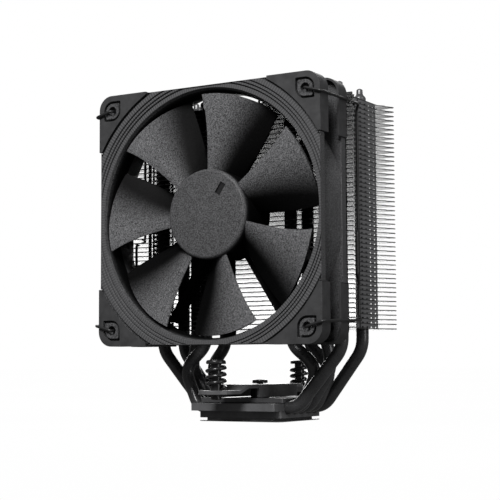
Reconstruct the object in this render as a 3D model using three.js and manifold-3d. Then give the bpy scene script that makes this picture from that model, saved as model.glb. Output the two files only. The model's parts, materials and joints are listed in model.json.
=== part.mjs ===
// Single-tower air cooler for a processor: a contact base, five U-shaped heat pipes, a stack of fins,
// a spring-loaded mounting bar and a 120 mm fan held on by two wire clips.
//
// Millimetres. The origin is the centre of the contact face at the bottom of the base. +Z points up the
// tower, the fan is on the -Y side, and +X is to the right when the fan is seen from the front.

import * as THREE from 'three';
import { mergeVertices } from 'three/addons/utils/BufferGeometryUtils.js';
import Module from 'manifold-3d';

const wasm = await Module();
wasm.setup();

// ---------------------------------------------------------------- driving dimensions
const gap = 0.3;                    // space kept between neighbouring solids
const overshoot = 1;                // how far a cutting tool runs past the face it cuts

// heat pipes
const pipeRadius = 3;
const pipeSides = 8;
const pipeAxisZ = 6.6;              // height of the pipes where they cross the base
const pipePitch = 6.5;              // spacing of the pipes in the base
const pipeTopZ = 154.2;
const tipTopZ = 158;                // overall height of the cooler
const tipRadius = 1.65;
const outerLegX = 50;
const middleLegX = 36.2;
const innerRightLegX = 22.3;
const innerLeftLegX = 25;
const outerFrontY = 10.5;           // how far from the middle plane the outermost legs stand
const innerEndY = 9;
const innerNearY = 8.4;

// fin stack
const finBottomZ = 42.8;
const finTopZ = 149.6;
const finCount = 17;                // each stands for three of the real, thinner fins
const finThickness = 1.2;
const finHalfDepth = 22.5;
const earHalfWidth = 62.2;
const finSideX = 58;
const notchHalfDepth = 12.5;
const sideTabHalfDepth = 11;
const sideTabThickness = 0.6;
const pipeHoleHalf = 3.35;

// base
const landHalfX = 18.2;
const landHalfY = 19.8;
const lipThickness = 0.4;
const landTopZ = 1.7;
const shoulderHalfX = 22.5;
const shoulderHalfY = 20.5;
const shoulderRadius = 3;
const flangeBottomZ = 5.1;
const flangeTopZ = 8.6;
const baseFlangeHalfX = 22.7;
const baseFlangeHalfY = 26.3;
const grooveRadius = 3.4;
const topPlateBottomZ = flangeTopZ + gap;
const topPlateTopZ = 11;
const topPlateHalfY = 18;
const bossRadius = 4.5;
const bossTopZ = 15.2;

// mounting bar and its spring screws
const screwSpacing = 79;
const screwY = screwSpacing / 2;
const barThickness = 1.9;
const barEndBottomZ = 13;
const barEndRadius = 8.2;
const barMiddleRise = 2.5;
const barMiddleHalfX = 10.5;
const barMiddleHalfY = 18;
const barSkirtThickness = 1.6;
const barRampStartY = 25;
const barRampEndY = 31;
const screwHoleRadius = 3;
const screwShaftRadius = 2.5;
const screwHeadRadius = 4.7;
const screwHeadBottomZ = 26.9;
const screwHeadTopZ = 28.9;
const screwHeadEdge = 0.4;
const screwTipZ = 10.6;
const retainerGrooveDepth = 0.6;
const retainerGrooveHalf = 0.5;
const retainerRingHalf = 0.2;
const retainerRingRadius = 4.1;
const retainerRingOpening = 0.5;    // half the ring's gap, in radians
const barScrewRadius = 1.5;
const barScrewHoleRadius = 2.1;
const barScrewHeadRadius = 3.8;
const barScrewHeadHeight = 1.9;
const barScrewHeadEdge = 0.6;
const springMeanRadius = 4.35;
const springWireRadius = 0.65;
const springTurns = 3.25;
const springStepsPerTurn = 9;

// fan
const fanCentreZ = 95.4;
const fanFrontY = -48.5;
const fanRearY = -23.5;
const fanMiddleY = (fanFrontY + fanRearY) / 2;
const fanFlatHalf = 59.5;
const fanCornerHalf = 58.7;
const fanCornerRadius = 5.7;
const fanFlangeThickness = 4.4;
const fanHoleOffset = 52.5;         // 105 mm between the fan's corner holes
const fanHoleRadius = 2.2;
const ductInnerRadius = 56.6;
const ductMouthRadius = 58.3;
const ductRearRadius = 60.5;        // the duct widens behind the impeller, as far as its square sides allow
const ductRearHalf = 58.1;
const ductFlareY = -38;
const ductWall = 1.6;
const padHalf = 60;                 // the rubber corners set the 120 mm outline
const padStart = 33;
const padCornerRadius = 7;
const padInnerRadius = 67.3;
const padFrontDepth = 1.1;
const padProud = 0.5;
const padSkirt = 1;
const padSkirtDepth = 8;
const vaneCount = 11;
const firstVaneAngle = 8.4;         // degrees, from +X towards +Z
const ductSegments = 36;
const bladeCount = 7;
const bladeCamber = 1.3;            // above 1, a blade is flatter at its leading edge
const hubRadius = 20.75;
const bladeTipRadius = 55.6;
const clipWireRadius = 0.65;

// finishes
const finishes = {
  blackMetal: { color: 0x26262a, roughness: 0.5, metalness: 0.7 },
  glossMetal: { color: 0x1c1c1f, roughness: 0.28, metalness: 0.85 },
  blackPipe: { color: 0x2b2b2e, roughness: 0.38, metalness: 0.75 },
  fanPlastic: { color: 0x3a393b, roughness: 0.72, metalness: 0 },
  rubber: { color: 0x3c3c40, roughness: 0.62, metalness: 0 },
  steel: { color: 0x9a9da0, roughness: 0.35, metalness: 1 },
  magnet: { color: 0x3d3a38, roughness: 0.8, metalness: 0.1 },
  bronze: { color: 0x9c7344, roughness: 0.45, metalness: 1 },
  winding: { color: 0xa5562b, roughness: 0.4, metalness: 0.6 },
  board: { color: 0x1f5236, roughness: 0.6, metalness: 0 },
};

// ---------------------------------------------------------------- solids and booleans

// Merges shared corners, drops empty triangles and makes every face point outwards.
function closed(geometry) {
  const bare = geometry.clone();
  bare.deleteAttribute('normal');
  bare.deleteAttribute('uv');
  const merged = mergeVertices(bare, 1e-4);
  const position = merged.attributes.position;
  const source = merged.index.array;
  const corner = (index) => new THREE.Vector3().fromBufferAttribute(position, index);
  const kept = [];
  let volume = 0;
  for (let i = 0; i < source.length; i += 3) {
    const [a, b, c] = [source[i], source[i + 1], source[i + 2]];
    if (a === b || b === c || a === c) continue;
    kept.push(a, b, c);
    volume += corner(a).dot(corner(b).cross(corner(c)));
  }
  if (volume < 0) kept.reverse();
  merged.setIndex(kept);
  return merged;
}

function toSolid(geometry) {
  const shell = closed(geometry);
  return new wasm.Manifold(new wasm.Mesh({
    numProp: 3,
    vertProperties: new Float32Array(shell.attributes.position.array),
    triVerts: new Uint32Array(shell.index.array),
  }));
}

function toGeometry(solid) {
  const mesh = solid.getMesh();
  const geometry = new THREE.BufferGeometry();
  geometry.setAttribute('position', new THREE.BufferAttribute(new Float32Array(mesh.vertProperties), 3));
  geometry.setIndex(new THREE.BufferAttribute(new Uint32Array(mesh.triVerts), 1));
  return geometry;
}

function join(first, ...others) {
  return toGeometry(others.reduce((sum, other) => sum.add(toSolid(other)), toSolid(first)));
}

function cut(first, ...tools) {
  return toGeometry(tools.reduce((rest, tool) => rest.subtract(toSolid(tool)), toSolid(first)));
}

function overlapOf(first, second) {
  return toGeometry(toSolid(first).intersect(toSolid(second)));
}

// ---------------------------------------------------------------- shape helpers

function box(x0, x1, y0, y1, z0, z1) {
  const geometry = new THREE.BoxGeometry(x1 - x0, y1 - y0, z1 - z0);
  return geometry.translate((x0 + x1) / 2, (y0 + y1) / 2, (z0 + z1) / 2);
}

function extrudeZ(shape, z0, z1, curveSegments = 2) {
  const geometry = new THREE.ExtrudeGeometry(shape, { depth: z1 - z0, bevelEnabled: false, curveSegments });
  return geometry.translate(0, 0, z0);
}

// The shape's own x and y become X and Z.
function extrudeY(shape, y0, y1, curveSegments = 2) {
  const geometry = new THREE.ExtrudeGeometry(shape, { depth: y1 - y0, bevelEnabled: false, curveSegments });
  return geometry.rotateX(Math.PI / 2).translate(0, y1, 0);
}

// The shape's own x and y become Y and Z.
function extrudeX(shape, x0, x1) {
  const geometry = new THREE.ExtrudeGeometry(shape, { depth: x1 - x0, bevelEnabled: false });
  const turn = new THREE.Matrix4().makeBasis(
    new THREE.Vector3(0, 1, 0),
    new THREE.Vector3(0, 0, 1),
    new THREE.Vector3(1, 0, 0),
  );
  return geometry.applyMatrix4(turn).translate(x0, 0, 0);
}

function polygon(points) {
  return new THREE.Shape(points.map(([x, y]) => new THREE.Vector2(x, y)));
}

function roundedRectangle(halfX, halfY, radius) {
  const shape = new THREE.Shape();
  shape.moveTo(halfX, -halfY + radius);
  shape.lineTo(halfX, halfY - radius);
  shape.absarc(halfX - radius, halfY - radius, radius, 0, Math.PI / 2);
  shape.lineTo(-halfX + radius, halfY);
  shape.absarc(-halfX + radius, halfY - radius, radius, Math.PI / 2, Math.PI);
  shape.lineTo(-halfX, -halfY + radius);
  shape.absarc(-halfX + radius, -halfY + radius, radius, Math.PI, 1.5 * Math.PI);
  shape.lineTo(halfX - radius, -halfY);
  shape.absarc(halfX - radius, -halfY + radius, radius, 1.5 * Math.PI, 2 * Math.PI);
  return shape;
}

// A turned solid about a line parallel to Y: the profile is a list of [radius, y].
function turnedY(profile, segments) {
  return new THREE.LatheGeometry(profile.map(([r, y]) => new THREE.Vector2(r, y)), segments);
}

// A turned solid about a line parallel to Z: the profile is a list of [radius, z].
function turnedZ(profile, segments) {
  return turnedY(profile, segments).rotateX(Math.PI / 2);
}

function ringProfile(innerRadius, outerRadius, low, high) {
  return [
    [innerRadius, low],
    [outerRadius, low],
    [outerRadius, high],
    [innerRadius, high],
    [innerRadius, low],
  ];
}

function discProfile(radius, low, high) {
  return [[0, low], [radius, low], [radius, high], [0, high]];
}

function circle(radius, sides) {
  const points = [];
  for (let i = 0; i < sides; i += 1) {
    const angle = ((i + 0.5) / sides) * 2 * Math.PI;
    points.push([radius * Math.cos(angle), radius * Math.sin(angle)]);
  }
  return polygon(points);
}

// A path given by its stations, so that a tube has rings only where it bends.
class StationPath extends THREE.Curve {
  constructor(stations) {
    super();
    this.stations = stations;
  }

  getPointAt(fraction) {
    return this.stations[Math.round(fraction * (this.stations.length - 1))].clone();
  }

  getTangentAt(fraction) {
    const last = this.stations.length - 1;
    const index = Math.round(fraction * last);
    const before = this.stations[Math.max(index - 1, 0)];
    const after = this.stations[Math.min(index + 1, last)];
    const here = this.stations[index];
    const arriving = here.clone().sub(before).normalize();
    const leaving = after.clone().sub(here).normalize();
    return arriving.add(leaving).normalize();
  }
}

// Rounds each corner of a route of [x, y, z, bend radius] and lists the stations along it.
function bentRoute(corners, stepsPerBend) {
  const points = corners.map(([x, y, z]) => new THREE.Vector3(x, y, z));
  const stations = [points[0]];
  for (let i = 1; i < points.length - 1; i += 1) {
    const toPrevious = points[i - 1].clone().sub(points[i]).normalize();
    const toNext = points[i + 1].clone().sub(points[i]).normalize();
    const turn = Math.PI - toPrevious.angleTo(toNext);
    const reach = corners[i][3] * Math.tan(turn / 2);
    const start = points[i].clone().addScaledVector(toPrevious, reach);
    const end = points[i].clone().addScaledVector(toNext, reach);
    const bend = new THREE.QuadraticBezierCurve3(start, points[i], end);
    stations.push(...bend.getPoints(stepsPerBend));
  }
  stations.push(points[points.length - 1]);
  return stations;
}

function tube(stations, radius, sides) {
  return new THREE.ExtrudeGeometry(circle(radius, sides), {
    steps: stations.length - 1,
    extrudePath: new StationPath(stations),
    bevelEnabled: false,
  });
}

// ---------------------------------------------------------------- heat pipes

// Where a leg leaves the base, its knee and, if it leans back in, its shoulder, with their bend radii.
const outerRise = { footX: 27.9, footBend: 10.5, kneeX: outerLegX, kneeZ: 33.8, kneeBend: 14 };
const innerRise = {
  footX: 26.9, footBend: 7, kneeX: 35.7, kneeZ: 24.8, kneeBend: 10, shoulderZ: 36.1, shoulderBend: 11,
};
const middleRise = {
  footX: 27, footBend: 8, kneeX: 39.2, kneeZ: 25.5, kneeBend: 14, shoulderZ: 38, shoulderBend: 20,
};

// Corners of one leg from the base upwards, on the side given by sign.
function legCorners(kind, sign, baseY, legY, legX) {
  const top = [sign * legX, legY, pipeTopZ, 0];
  if (kind === 'outer') {
    return [
      [sign * outerRise.footX, baseY, pipeAxisZ, outerRise.footBend],
      [sign * outerRise.kneeX, legY, outerRise.kneeZ, outerRise.kneeBend],
      top,
    ];
  }
  const rise = kind === 'inner' ? innerRise : middleRise;
  const kneeY = baseY + (legY - baseY) * 0.35;
  return [
    [sign * rise.footX, baseY, pipeAxisZ, rise.footBend],
    [sign * rise.kneeX, kneeY, rise.kneeZ, rise.kneeBend],
    [sign * legX, legY, rise.shoulderZ, rise.shoulderBend],
    top,
  ];
}

const pipeLayouts = [
  { base: -2, left: ['inner', -innerEndY, innerLeftLegX], right: ['outer', -outerFrontY, outerLegX] },
  { base: -1, left: ['outer', -innerEndY, outerLegX], right: ['inner', -innerNearY, innerRightLegX] },
  { base: 0, left: ['middle', 0, middleLegX], right: ['middle', 0, middleLegX] },
  { base: 1, left: ['outer', innerEndY, outerLegX], right: ['inner', innerNearY, innerRightLegX] },
  { base: 2, left: ['inner', innerEndY, innerLeftLegX], right: ['outer', outerFrontY, outerLegX] },
];

function pipeTip(x, y) {
  const profile = [
    [0, pipeTopZ - gap],
    [pipeRadius - 0.35, pipeTopZ - gap],
    [tipRadius, pipeTopZ + 1.3],
    [tipRadius, tipTopZ],
    [0, tipTopZ],
  ];
  return turnedZ(profile, pipeSides).translate(x, y, 0);
}

function heatPipe({ base, left, right }) {
  const baseY = base * pipePitch;
  const leftLeg = legCorners(left[0], -1, baseY, left[1], left[2]).reverse();
  const rightLeg = legCorners(right[0], 1, baseY, right[1], right[2]);
  const pipe = tube(bentRoute([...leftLeg, ...rightLeg], 3), pipeRadius, pipeSides);
  return join(pipe, pipeTip(-left[2], left[1]), pipeTip(right[2], right[1]));
}

// ---------------------------------------------------------------- fin stack

function finOutline() {
  const side = [
    [earHalfWidth, -finHalfDepth],
    [finSideX, -notchHalfDepth],
    [finSideX, notchHalfDepth],
    [earHalfWidth, finHalfDepth],
  ];
  const otherSide = side.map(([x, y]) => [-x, -y]);
  return polygon([...side, ...otherSide]);
}

function finStack() {
  const outline = finOutline();
  const pitch = (finTopZ - finBottomZ - finThickness) / (finCount - 1);
  const plates = [];
  for (let i = 0; i < finCount; i += 1) {
    const bottom = finBottomZ + i * pitch;
    plates.push(extrudeZ(outline, bottom, bottom + finThickness));
  }
  const tabOuter = finSideX - 0.1;
  const tabInner = tabOuter - sideTabThickness;
  const tabs = [
    box(tabInner, tabOuter, -sideTabHalfDepth, sideTabHalfDepth, finBottomZ, finTopZ),
    box(-tabOuter, -tabInner, -sideTabHalfDepth, sideTabHalfDepth, finBottomZ, finTopZ),
  ];
  const holes = [];
  for (const { left, right } of pipeLayouts) {
    for (const [x, y] of [[-left[2], left[1]], [right[2], right[1]]]) {
      holes.push(box(
        x - pipeHoleHalf, x + pipeHoleHalf,
        y - pipeHoleHalf, y + pipeHoleHalf,
        finBottomZ - overshoot, finTopZ + overshoot,
      ));
    }
  }
  return cut(join(tabs[0], tabs[1], ...plates), ...holes);
}

// ---------------------------------------------------------------- base

function pipeGrooves() {
  const length = baseFlangeHalfX + overshoot;
  return pipeLayouts.map(({ base }) => {
    const rod = new THREE.CylinderGeometry(grooveRadius, grooveRadius, 2 * length, pipeSides);
    return rod.rotateZ(Math.PI / 2).rotateX(Math.PI / pipeSides).translate(0, base * pipePitch, pipeAxisZ);
  });
}

function baseBlock() {
  const lip = extrudeZ(roundedRectangle(shoulderHalfX, shoulderHalfY, shoulderRadius), 0, lipThickness);
  const land = extrudeZ(roundedRectangle(landHalfX, landHalfY, 1.5), 0.1, landTopZ + 0.1);
  const shoulder = extrudeZ(
    roundedRectangle(shoulderHalfX, shoulderHalfY, shoulderRadius), landTopZ, flangeBottomZ + 0.1,
  );
  const flange = extrudeZ(
    roundedRectangle(baseFlangeHalfX, baseFlangeHalfY, 0.8), flangeBottomZ, flangeTopZ,
  );
  const channelHalf = 2 * pipePitch + grooveRadius;
  const channel = box(
    -baseFlangeHalfX - overshoot, baseFlangeHalfX + overshoot,
    -channelHalf, channelHalf,
    pipeAxisZ, flangeTopZ + overshoot,
  );
  return cut(join(lip, land, shoulder, flange), channel, ...pipeGrooves());
}

function topPlate() {
  const plate = extrudeZ(
    roundedRectangle(shoulderHalfX, topPlateHalfY, 1), topPlateBottomZ, topPlateTopZ,
  );
  const boss = turnedZ(discProfile(bossRadius, topPlateTopZ - 0.5, bossTopZ), 14);
  const thread = turnedZ(discProfile(1.9, topPlateTopZ + 0.3, bossTopZ + overshoot), 10);
  return cut(join(plate, boss), ...pipeGrooves(), thread);
}

// ---------------------------------------------------------------- mounting bar

function barPlan() {
  const shape = new THREE.Shape();
  shape.moveTo(barEndRadius, -screwY);
  shape.lineTo(barEndRadius, -barRampEndY + 2);
  shape.lineTo(barMiddleHalfX, -barMiddleHalfY);
  shape.lineTo(barMiddleHalfX, barMiddleHalfY);
  shape.lineTo(barEndRadius, barRampEndY - 2);
  shape.lineTo(barEndRadius, screwY);
  shape.absarc(0, screwY, barEndRadius, 0, Math.PI);
  shape.lineTo(-barEndRadius, barRampEndY - 2);
  shape.lineTo(-barMiddleHalfX, barMiddleHalfY);
  shape.lineTo(-barMiddleHalfX, -barMiddleHalfY);
  shape.lineTo(-barEndRadius, -barRampEndY + 2);
  shape.lineTo(-barEndRadius, -screwY);
  shape.absarc(0, -screwY, barEndRadius, Math.PI, 2 * Math.PI);
  return shape;
}

function barBend() {
  const end = screwY + barEndRadius + overshoot;
  const low = barEndBottomZ;
  const high = barEndBottomZ + barMiddleRise;
  const under = [
    [-end, low],
    [-barRampEndY, low],
    [-barRampStartY, high],
    [barRampStartY, high],
    [barRampEndY, low],
    [end, low],
  ];
  const over = under.map(([y, z]) => [y, z + barThickness]).reverse();
  return extrudeX(polygon([...under, ...over]), -barMiddleHalfX - overshoot, barMiddleHalfX + overshoot);
}

function mountingBar() {
  const top = barEndBottomZ + barMiddleRise + barThickness;
  const bent = overlapOf(barBend(), extrudeZ(barPlan(), 0, top + overshoot, 4));
  const outer = barMiddleHalfX;
  const inner = barMiddleHalfX - barSkirtThickness;
  const skirtBottom = topPlateTopZ + gap;
  const skirtTop = top - barThickness / 2;
  const skirts = [
    box(inner, outer, -barMiddleHalfY, barMiddleHalfY, skirtBottom, skirtTop),
    box(-outer, -inner, -barMiddleHalfY, barMiddleHalfY, skirtBottom, skirtTop),
  ];
  const holes = [-screwY, 0, screwY].map((y) => {
    const radius = y === 0 ? barScrewHoleRadius : screwHoleRadius;
    return turnedZ(discProfile(radius, 0, top + overshoot), 12).translate(0, y, 0);
  });
  return cut(join(bent, ...skirts), ...holes);
}

function barScrew() {
  const tip = topPlateTopZ + 2 * gap;
  const headBottom = barEndBottomZ + barMiddleRise + barThickness + gap;
  const headTop = headBottom + barScrewHeadHeight;
  return turnedZ([
    [0, tip],
    [barScrewRadius, tip],
    [barScrewRadius, headBottom],
    [barScrewHeadRadius, headBottom],
    [barScrewHeadRadius, headTop - barScrewHeadEdge],
    [barScrewHeadRadius - barScrewHeadEdge, headTop],
    [0, headTop],
  ], 14);
}

// The groove near the lower end of a spring screw takes its retaining ring.
const ringMiddleZ = barEndBottomZ - gap - retainerRingHalf;

function springScrew() {
  const grooveRadius = screwShaftRadius - retainerGrooveDepth;
  return turnedZ([
    [0, screwTipZ],
    [screwShaftRadius, screwTipZ],
    [screwShaftRadius, ringMiddleZ - retainerGrooveHalf],
    [grooveRadius, ringMiddleZ - retainerGrooveHalf],
    [grooveRadius, ringMiddleZ + retainerGrooveHalf],
    [screwShaftRadius, ringMiddleZ + retainerGrooveHalf],
    [screwShaftRadius, screwHeadBottomZ],
    [screwHeadRadius, screwHeadBottomZ],
    [screwHeadRadius, screwHeadTopZ - screwHeadEdge],
    [screwHeadRadius - screwHeadEdge, screwHeadTopZ],
    [0, screwHeadTopZ],
  ], 14);
}

function retainingRing() {
  const shape = new THREE.Shape();
  const start = retainerRingOpening;
  const end = 2 * Math.PI - retainerRingOpening;
  const inner = screwShaftRadius - retainerGrooveDepth / 2;
  shape.absarc(0, 0, retainerRingRadius, start, end);
  shape.absarc(0, 0, inner, end, start, true);
  return extrudeZ(shape, ringMiddleZ - retainerRingHalf, ringMiddleZ + retainerRingHalf, 5);
}

function coilSpring() {
  const bottom = barEndBottomZ + barThickness + gap + springWireRadius;
  const top = screwHeadBottomZ - gap - springWireRadius;
  const steps = Math.round(springTurns * springStepsPerTurn);
  const stations = [];
  for (let i = 0; i <= steps; i += 1) {
    const angle = (i / steps) * springTurns * 2 * Math.PI;
    stations.push(new THREE.Vector3(
      springMeanRadius * Math.cos(angle),
      springMeanRadius * Math.sin(angle),
      bottom + (top - bottom) * (i / steps),
    ));
  }
  return tube(stations, springWireRadius, 5);
}

// ---------------------------------------------------------------- fan frame (about the fan's own axis)

function fanFlangeShape() {
  const flat = padStart - gap;
  const bevel = fanCornerHalf - fanCornerRadius;
  const shape = new THREE.Shape();
  for (let side = 0; side < 4; side += 1) {
    const turn = (side * Math.PI) / 2;
    const place = (x, y) => [
      x * Math.cos(turn) - y * Math.sin(turn),
      x * Math.sin(turn) + y * Math.cos(turn),
    ];
    const points = [
      place(fanCornerHalf, -flat),
      place(fanFlatHalf, -flat),
      place(fanFlatHalf, flat),
      place(fanCornerHalf, flat),
    ];
    if (side === 0) shape.moveTo(...points[0]);
    else shape.lineTo(...points[0]);
    for (const point of points.slice(1)) shape.lineTo(...point);
    shape.absarc(...place(bevel, bevel), fanCornerRadius, turn, turn + Math.PI / 2);
  }
  return shape;
}

// Plan of one rubber corner, in the quadrant where both offsets are positive.
function padPlan(grow) {
  const start = padStart - grow;
  const inner = padInnerRadius - grow;
  const reach = Math.sqrt(inner * inner - start * start);
  const angle = Math.atan2(start, reach);
  const shape = new THREE.Shape();
  shape.moveTo(reach, start);
  shape.lineTo(padHalf, start);
  shape.lineTo(padHalf, padHalf - padCornerRadius);
  shape.absarc(padHalf - padCornerRadius, padHalf - padCornerRadius, padCornerRadius, 0, Math.PI / 2);
  shape.lineTo(start, padHalf);
  shape.lineTo(start, reach);
  shape.absarc(0, 0, inner, Math.PI / 2 - angle, angle, true);
  return shape;
}

// The boss round a corner hole: round towards the fan's axis and towards the corner, square on the other
// two sides.
function bossPath(radius, PathClass) {
  const near = fanHoleOffset - radius;
  const far = fanHoleOffset + radius;
  const path = new PathClass();
  path.moveTo(far, near);
  path.lineTo(far, fanHoleOffset);
  path.absarc(fanHoleOffset, fanHoleOffset, radius, 0, Math.PI / 2);
  path.lineTo(near, far);
  path.lineTo(near, fanHoleOffset);
  path.absarc(fanHoleOffset, fanHoleOffset, radius, Math.PI, 1.5 * Math.PI);
  return path;
}

function quarterTurns(geometry) {
  return [0, 1, 2, 3].map((turn) => geometry.clone().rotateY((-turn * Math.PI) / 2));
}

const bossRadiusAtHole = 3.7;
const bossWindow = 0.9;

function squareBlock(half) {
  return box(-half, half, fanFrontY - overshoot, fanRearY + overshoot, -half, half);
}

// The outside of the duct, and its two square flanges.
function frameOutside() {
  const front = ductMouthRadius + ductWall;
  const barrel = turnedY([
    [0, fanFrontY],
    [front, fanFrontY],
    [ductInnerRadius + ductWall, fanFrontY + 7],
    [ductInnerRadius + ductWall, ductFlareY],
    [ductRearRadius + ductWall, fanRearY],
    [0, fanRearY],
  ], ductSegments);
  const flangeShape = fanFlangeShape();
  return join(
    overlapOf(barrel, squareBlock(fanFlatHalf)),
    extrudeY(flangeShape, fanFrontY, fanFrontY + fanFlangeThickness),
    extrudeY(flangeShape, fanRearY - fanFlangeThickness, fanRearY),
  );
}

function ductBore() {
  const flare = (ductRearRadius - ductInnerRadius) / (fanRearY - ductFlareY);
  const bore = turnedY([
    [0, fanFrontY - overshoot],
    [ductMouthRadius, fanFrontY - overshoot],
    [ductMouthRadius, fanFrontY],
    [ductInnerRadius, fanFrontY + 6],
    [ductInnerRadius, ductFlareY],
    [ductRearRadius + flare * overshoot, fanRearY + overshoot],
    [0, fanRearY + overshoot],
  ], ductSegments);
  const front = box(-padHalf, padHalf, fanFrontY - 2 * overshoot, ductFlareY, -padHalf, padHalf);
  return overlapOf(bore, join(front, squareBlock(ductRearHalf)));
}

// The cup behind the rotor: a plate that holds the bearing housing, with a low rim.
const mountRearY = fanRearY - 0.5;
const mountRadius = 20.3;
const mountWall = 1.7;
const mountRim = 4.6;
const mountPlate = 1.6;
const mountOpening = 6.1;

function motorMount() {
  return turnedY([
    [mountOpening, mountRearY - mountPlate],
    [mountOpening, mountRearY],
    [mountRadius, mountRearY],
    [mountRadius, mountRearY - mountRim],
    [mountRadius - mountWall, mountRearY - mountRim],
    [mountRadius - mountWall, mountRearY - mountPlate],
    [mountOpening, mountRearY - mountPlate],
  ], 24);
}

// Each vane leans against the turn of the impeller and ends straight.
const vaneDepth = 5;
const vaneLean = 2.2;
const vaneThickness = 1;
const vaneEdge = 0.4;

function guideVane(index) {
  const rearY = mountRearY - 0.1;
  const frontY = rearY - vaneDepth;
  const vane = extrudeX(polygon([
    [frontY, -vaneLean],
    [frontY + vaneEdge, -vaneLean - vaneEdge],
    [rearY, vaneEdge],
    [rearY, vaneEdge + vaneThickness],
    [rearY - vaneThickness, vaneEdge + vaneThickness],
  ]), mountRadius - mountWall / 2, ductRearRadius + ductWall / 2);
  const angle = THREE.MathUtils.degToRad(firstVaneAngle) + (index / vaneCount) * 2 * Math.PI;
  return vane.rotateY(-angle);
}

// The notch where the cable leaves the rear flange.
const cableExitDepth = 1.6;
const cableExitBottomZ = -30;
const cableExitTopZ = -24;

function fanFrame() {
  const vanes = [];
  for (let i = 0; i < vaneCount; i += 1) vanes.push(guideVane(i));
  const outside = frameOutside();
  const middle = join(motorMount(), overlapOf(join(...vanes), outside));
  const body = join(cut(outside, ductBore()), middle);

  const pocketDepth = padFrontDepth - padProud + gap;
  const pocketShape = padPlan(gap);
  pocketShape.holes.push(bossPath(bossRadiusAtHole, THREE.Path));
  const frontPocket = extrudeY(pocketShape, fanFrontY - overshoot, fanFrontY + pocketDepth);
  const rearPocket = extrudeY(pocketShape, fanRearY - pocketDepth, fanRearY + overshoot);
  const hole = turnedY(discProfile(fanHoleRadius, fanFrontY - overshoot, fanRearY + overshoot), 8)
    .translate(fanHoleOffset, 0, fanHoleOffset);
  const cableExit = box(
    -fanFlatHalf - overshoot, -fanFlatHalf + cableExitDepth,
    fanRearY - fanFlangeThickness - overshoot, fanRearY + overshoot,
    cableExitBottomZ, cableExitTopZ,
  );
  return cut(
    body,
    ...quarterTurns(frontPocket),
    ...quarterTurns(rearPocket),
    ...quarterTurns(hole),
    cableExit,
  );
}

function cornerPad(faceY, inwards) {
  const plan = padPlan(0);
  plan.holes.push(bossPath(bossRadiusAtHole + bossWindow, THREE.Path));
  const outerY = faceY - inwards * padProud;
  const innerY = outerY + inwards * padFrontDepth;
  const skirtY = outerY + inwards * padSkirtDepth;
  const slab = extrudeY(plan, Math.min(outerY, innerY), Math.max(outerY, innerY));

  const centre = padHalf - padCornerRadius;
  const band = new THREE.Shape();
  band.moveTo(padHalf, padStart);
  band.absarc(centre, centre, padCornerRadius, 0, Math.PI / 2);
  band.lineTo(padStart, padHalf);
  band.lineTo(padStart, padHalf - padSkirt);
  band.absarc(centre, centre, padCornerRadius - padSkirt, Math.PI / 2, 0, true);
  band.lineTo(padHalf - padSkirt, padStart);
  const skirt = extrudeY(band, Math.min(outerY, skirtY), Math.max(outerY, skirtY));
  return join(slab, skirt);
}

// ---------------------------------------------------------------- rotor and motor (about the fan's own axis)

const hubFaceY = fanFrontY + 1.2;
const hubOpenY = -29.8;
const hubWall = 1.35;
const hubFaceThickness = 1.7;
const hubChamfer = 1.2;

function hubCup() {
  return turnedY([
    [0, hubFaceY + hubFaceThickness],
    [hubRadius - hubWall, hubFaceY + hubFaceThickness],
    [hubRadius - hubWall, hubOpenY],
    [hubRadius, hubOpenY],
    [hubRadius, hubFaceY + hubChamfer],
    [hubRadius - hubChamfer, hubFaceY],
    [0, hubFaceY],
  ], 32);
}

// A blade is a thin section pushed outwards along the radius, then wrapped round the axis. Its leading
// edge is nearest the front, and it falls back as it goes round.
// Each edge is given by its angle at the root and at the tip, with a bow between them, and by its depth.
const bladeLead = { root: 91.1, tip: 92.5, bow: -7, rootY: fanFrontY + 3.1, tipY: fanFrontY + 1.4 };
const bladeTrail = { root: 52.4, tip: 52.6, bow: -4.3, rootY: fanFrontY + 13.8, tipY: fanFrontY + 8.6 };

function edgeAngle(edge, outwards) {
  const straight = THREE.MathUtils.lerp(edge.root, edge.tip, outwards);
  return THREE.MathUtils.degToRad(straight + edge.bow * outwards * (1 - outwards));
}

function edgeDepth(edge, outwards) {
  return THREE.MathUtils.lerp(edge.rootY, edge.tipY, outwards);
}

const bladeEdgeHalf = 0.25;          // half the thickness at the edges, and what the middle adds to it
const bladeMiddleHalf = 0.75;
const bladeBlunting = 0.05;          // both edges start a little inside the curve, so they are blunt
const bladeRootOverlap = 0.8;

function bladeSection() {
  const chordSteps = 5;
  const halfThickness = (share) => {
    const along = bladeBlunting + share * (1 - 2 * bladeBlunting);
    return bladeEdgeHalf + bladeMiddleHalf * Math.sqrt(Math.sin(Math.PI * along));
  };
  const above = [];
  const below = [];
  for (let i = 0; i <= chordSteps; i += 1) {
    const share = i / chordSteps;
    above.push([share, halfThickness(share)]);
    below.unshift([share, -halfThickness(share)]);
  }
  return polygon([...above, ...below]);
}

function fanBlade(index) {
  const rootRadius = hubRadius - bladeRootOverlap;
  const length = bladeTipRadius - rootRadius;
  const geometry = new THREE.ExtrudeGeometry(bladeSection(), {
    depth: length, steps: 3, bevelEnabled: false,
  });
  const position = geometry.attributes.position;
  for (let i = 0; i < position.count; i += 1) {
    const share = position.getX(i);
    const thickness = position.getY(i);
    const outwards = position.getZ(i) / length;
    const radius = rootRadius + position.getZ(i);
    const angle = THREE.MathUtils.lerp(
      edgeAngle(bladeLead, outwards),
      edgeAngle(bladeTrail, outwards),
      share,
    );
    const depth = THREE.MathUtils.lerp(
      edgeDepth(bladeLead, outwards),
      edgeDepth(bladeTrail, outwards),
      Math.pow(share, bladeCamber),
    );
    position.setXYZ(
      i,
      radius * Math.cos(angle),
      depth + thickness,
      radius * Math.sin(angle),
    );
  }
  return geometry.rotateY((-index / bladeCount) * 2 * Math.PI);
}

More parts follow.
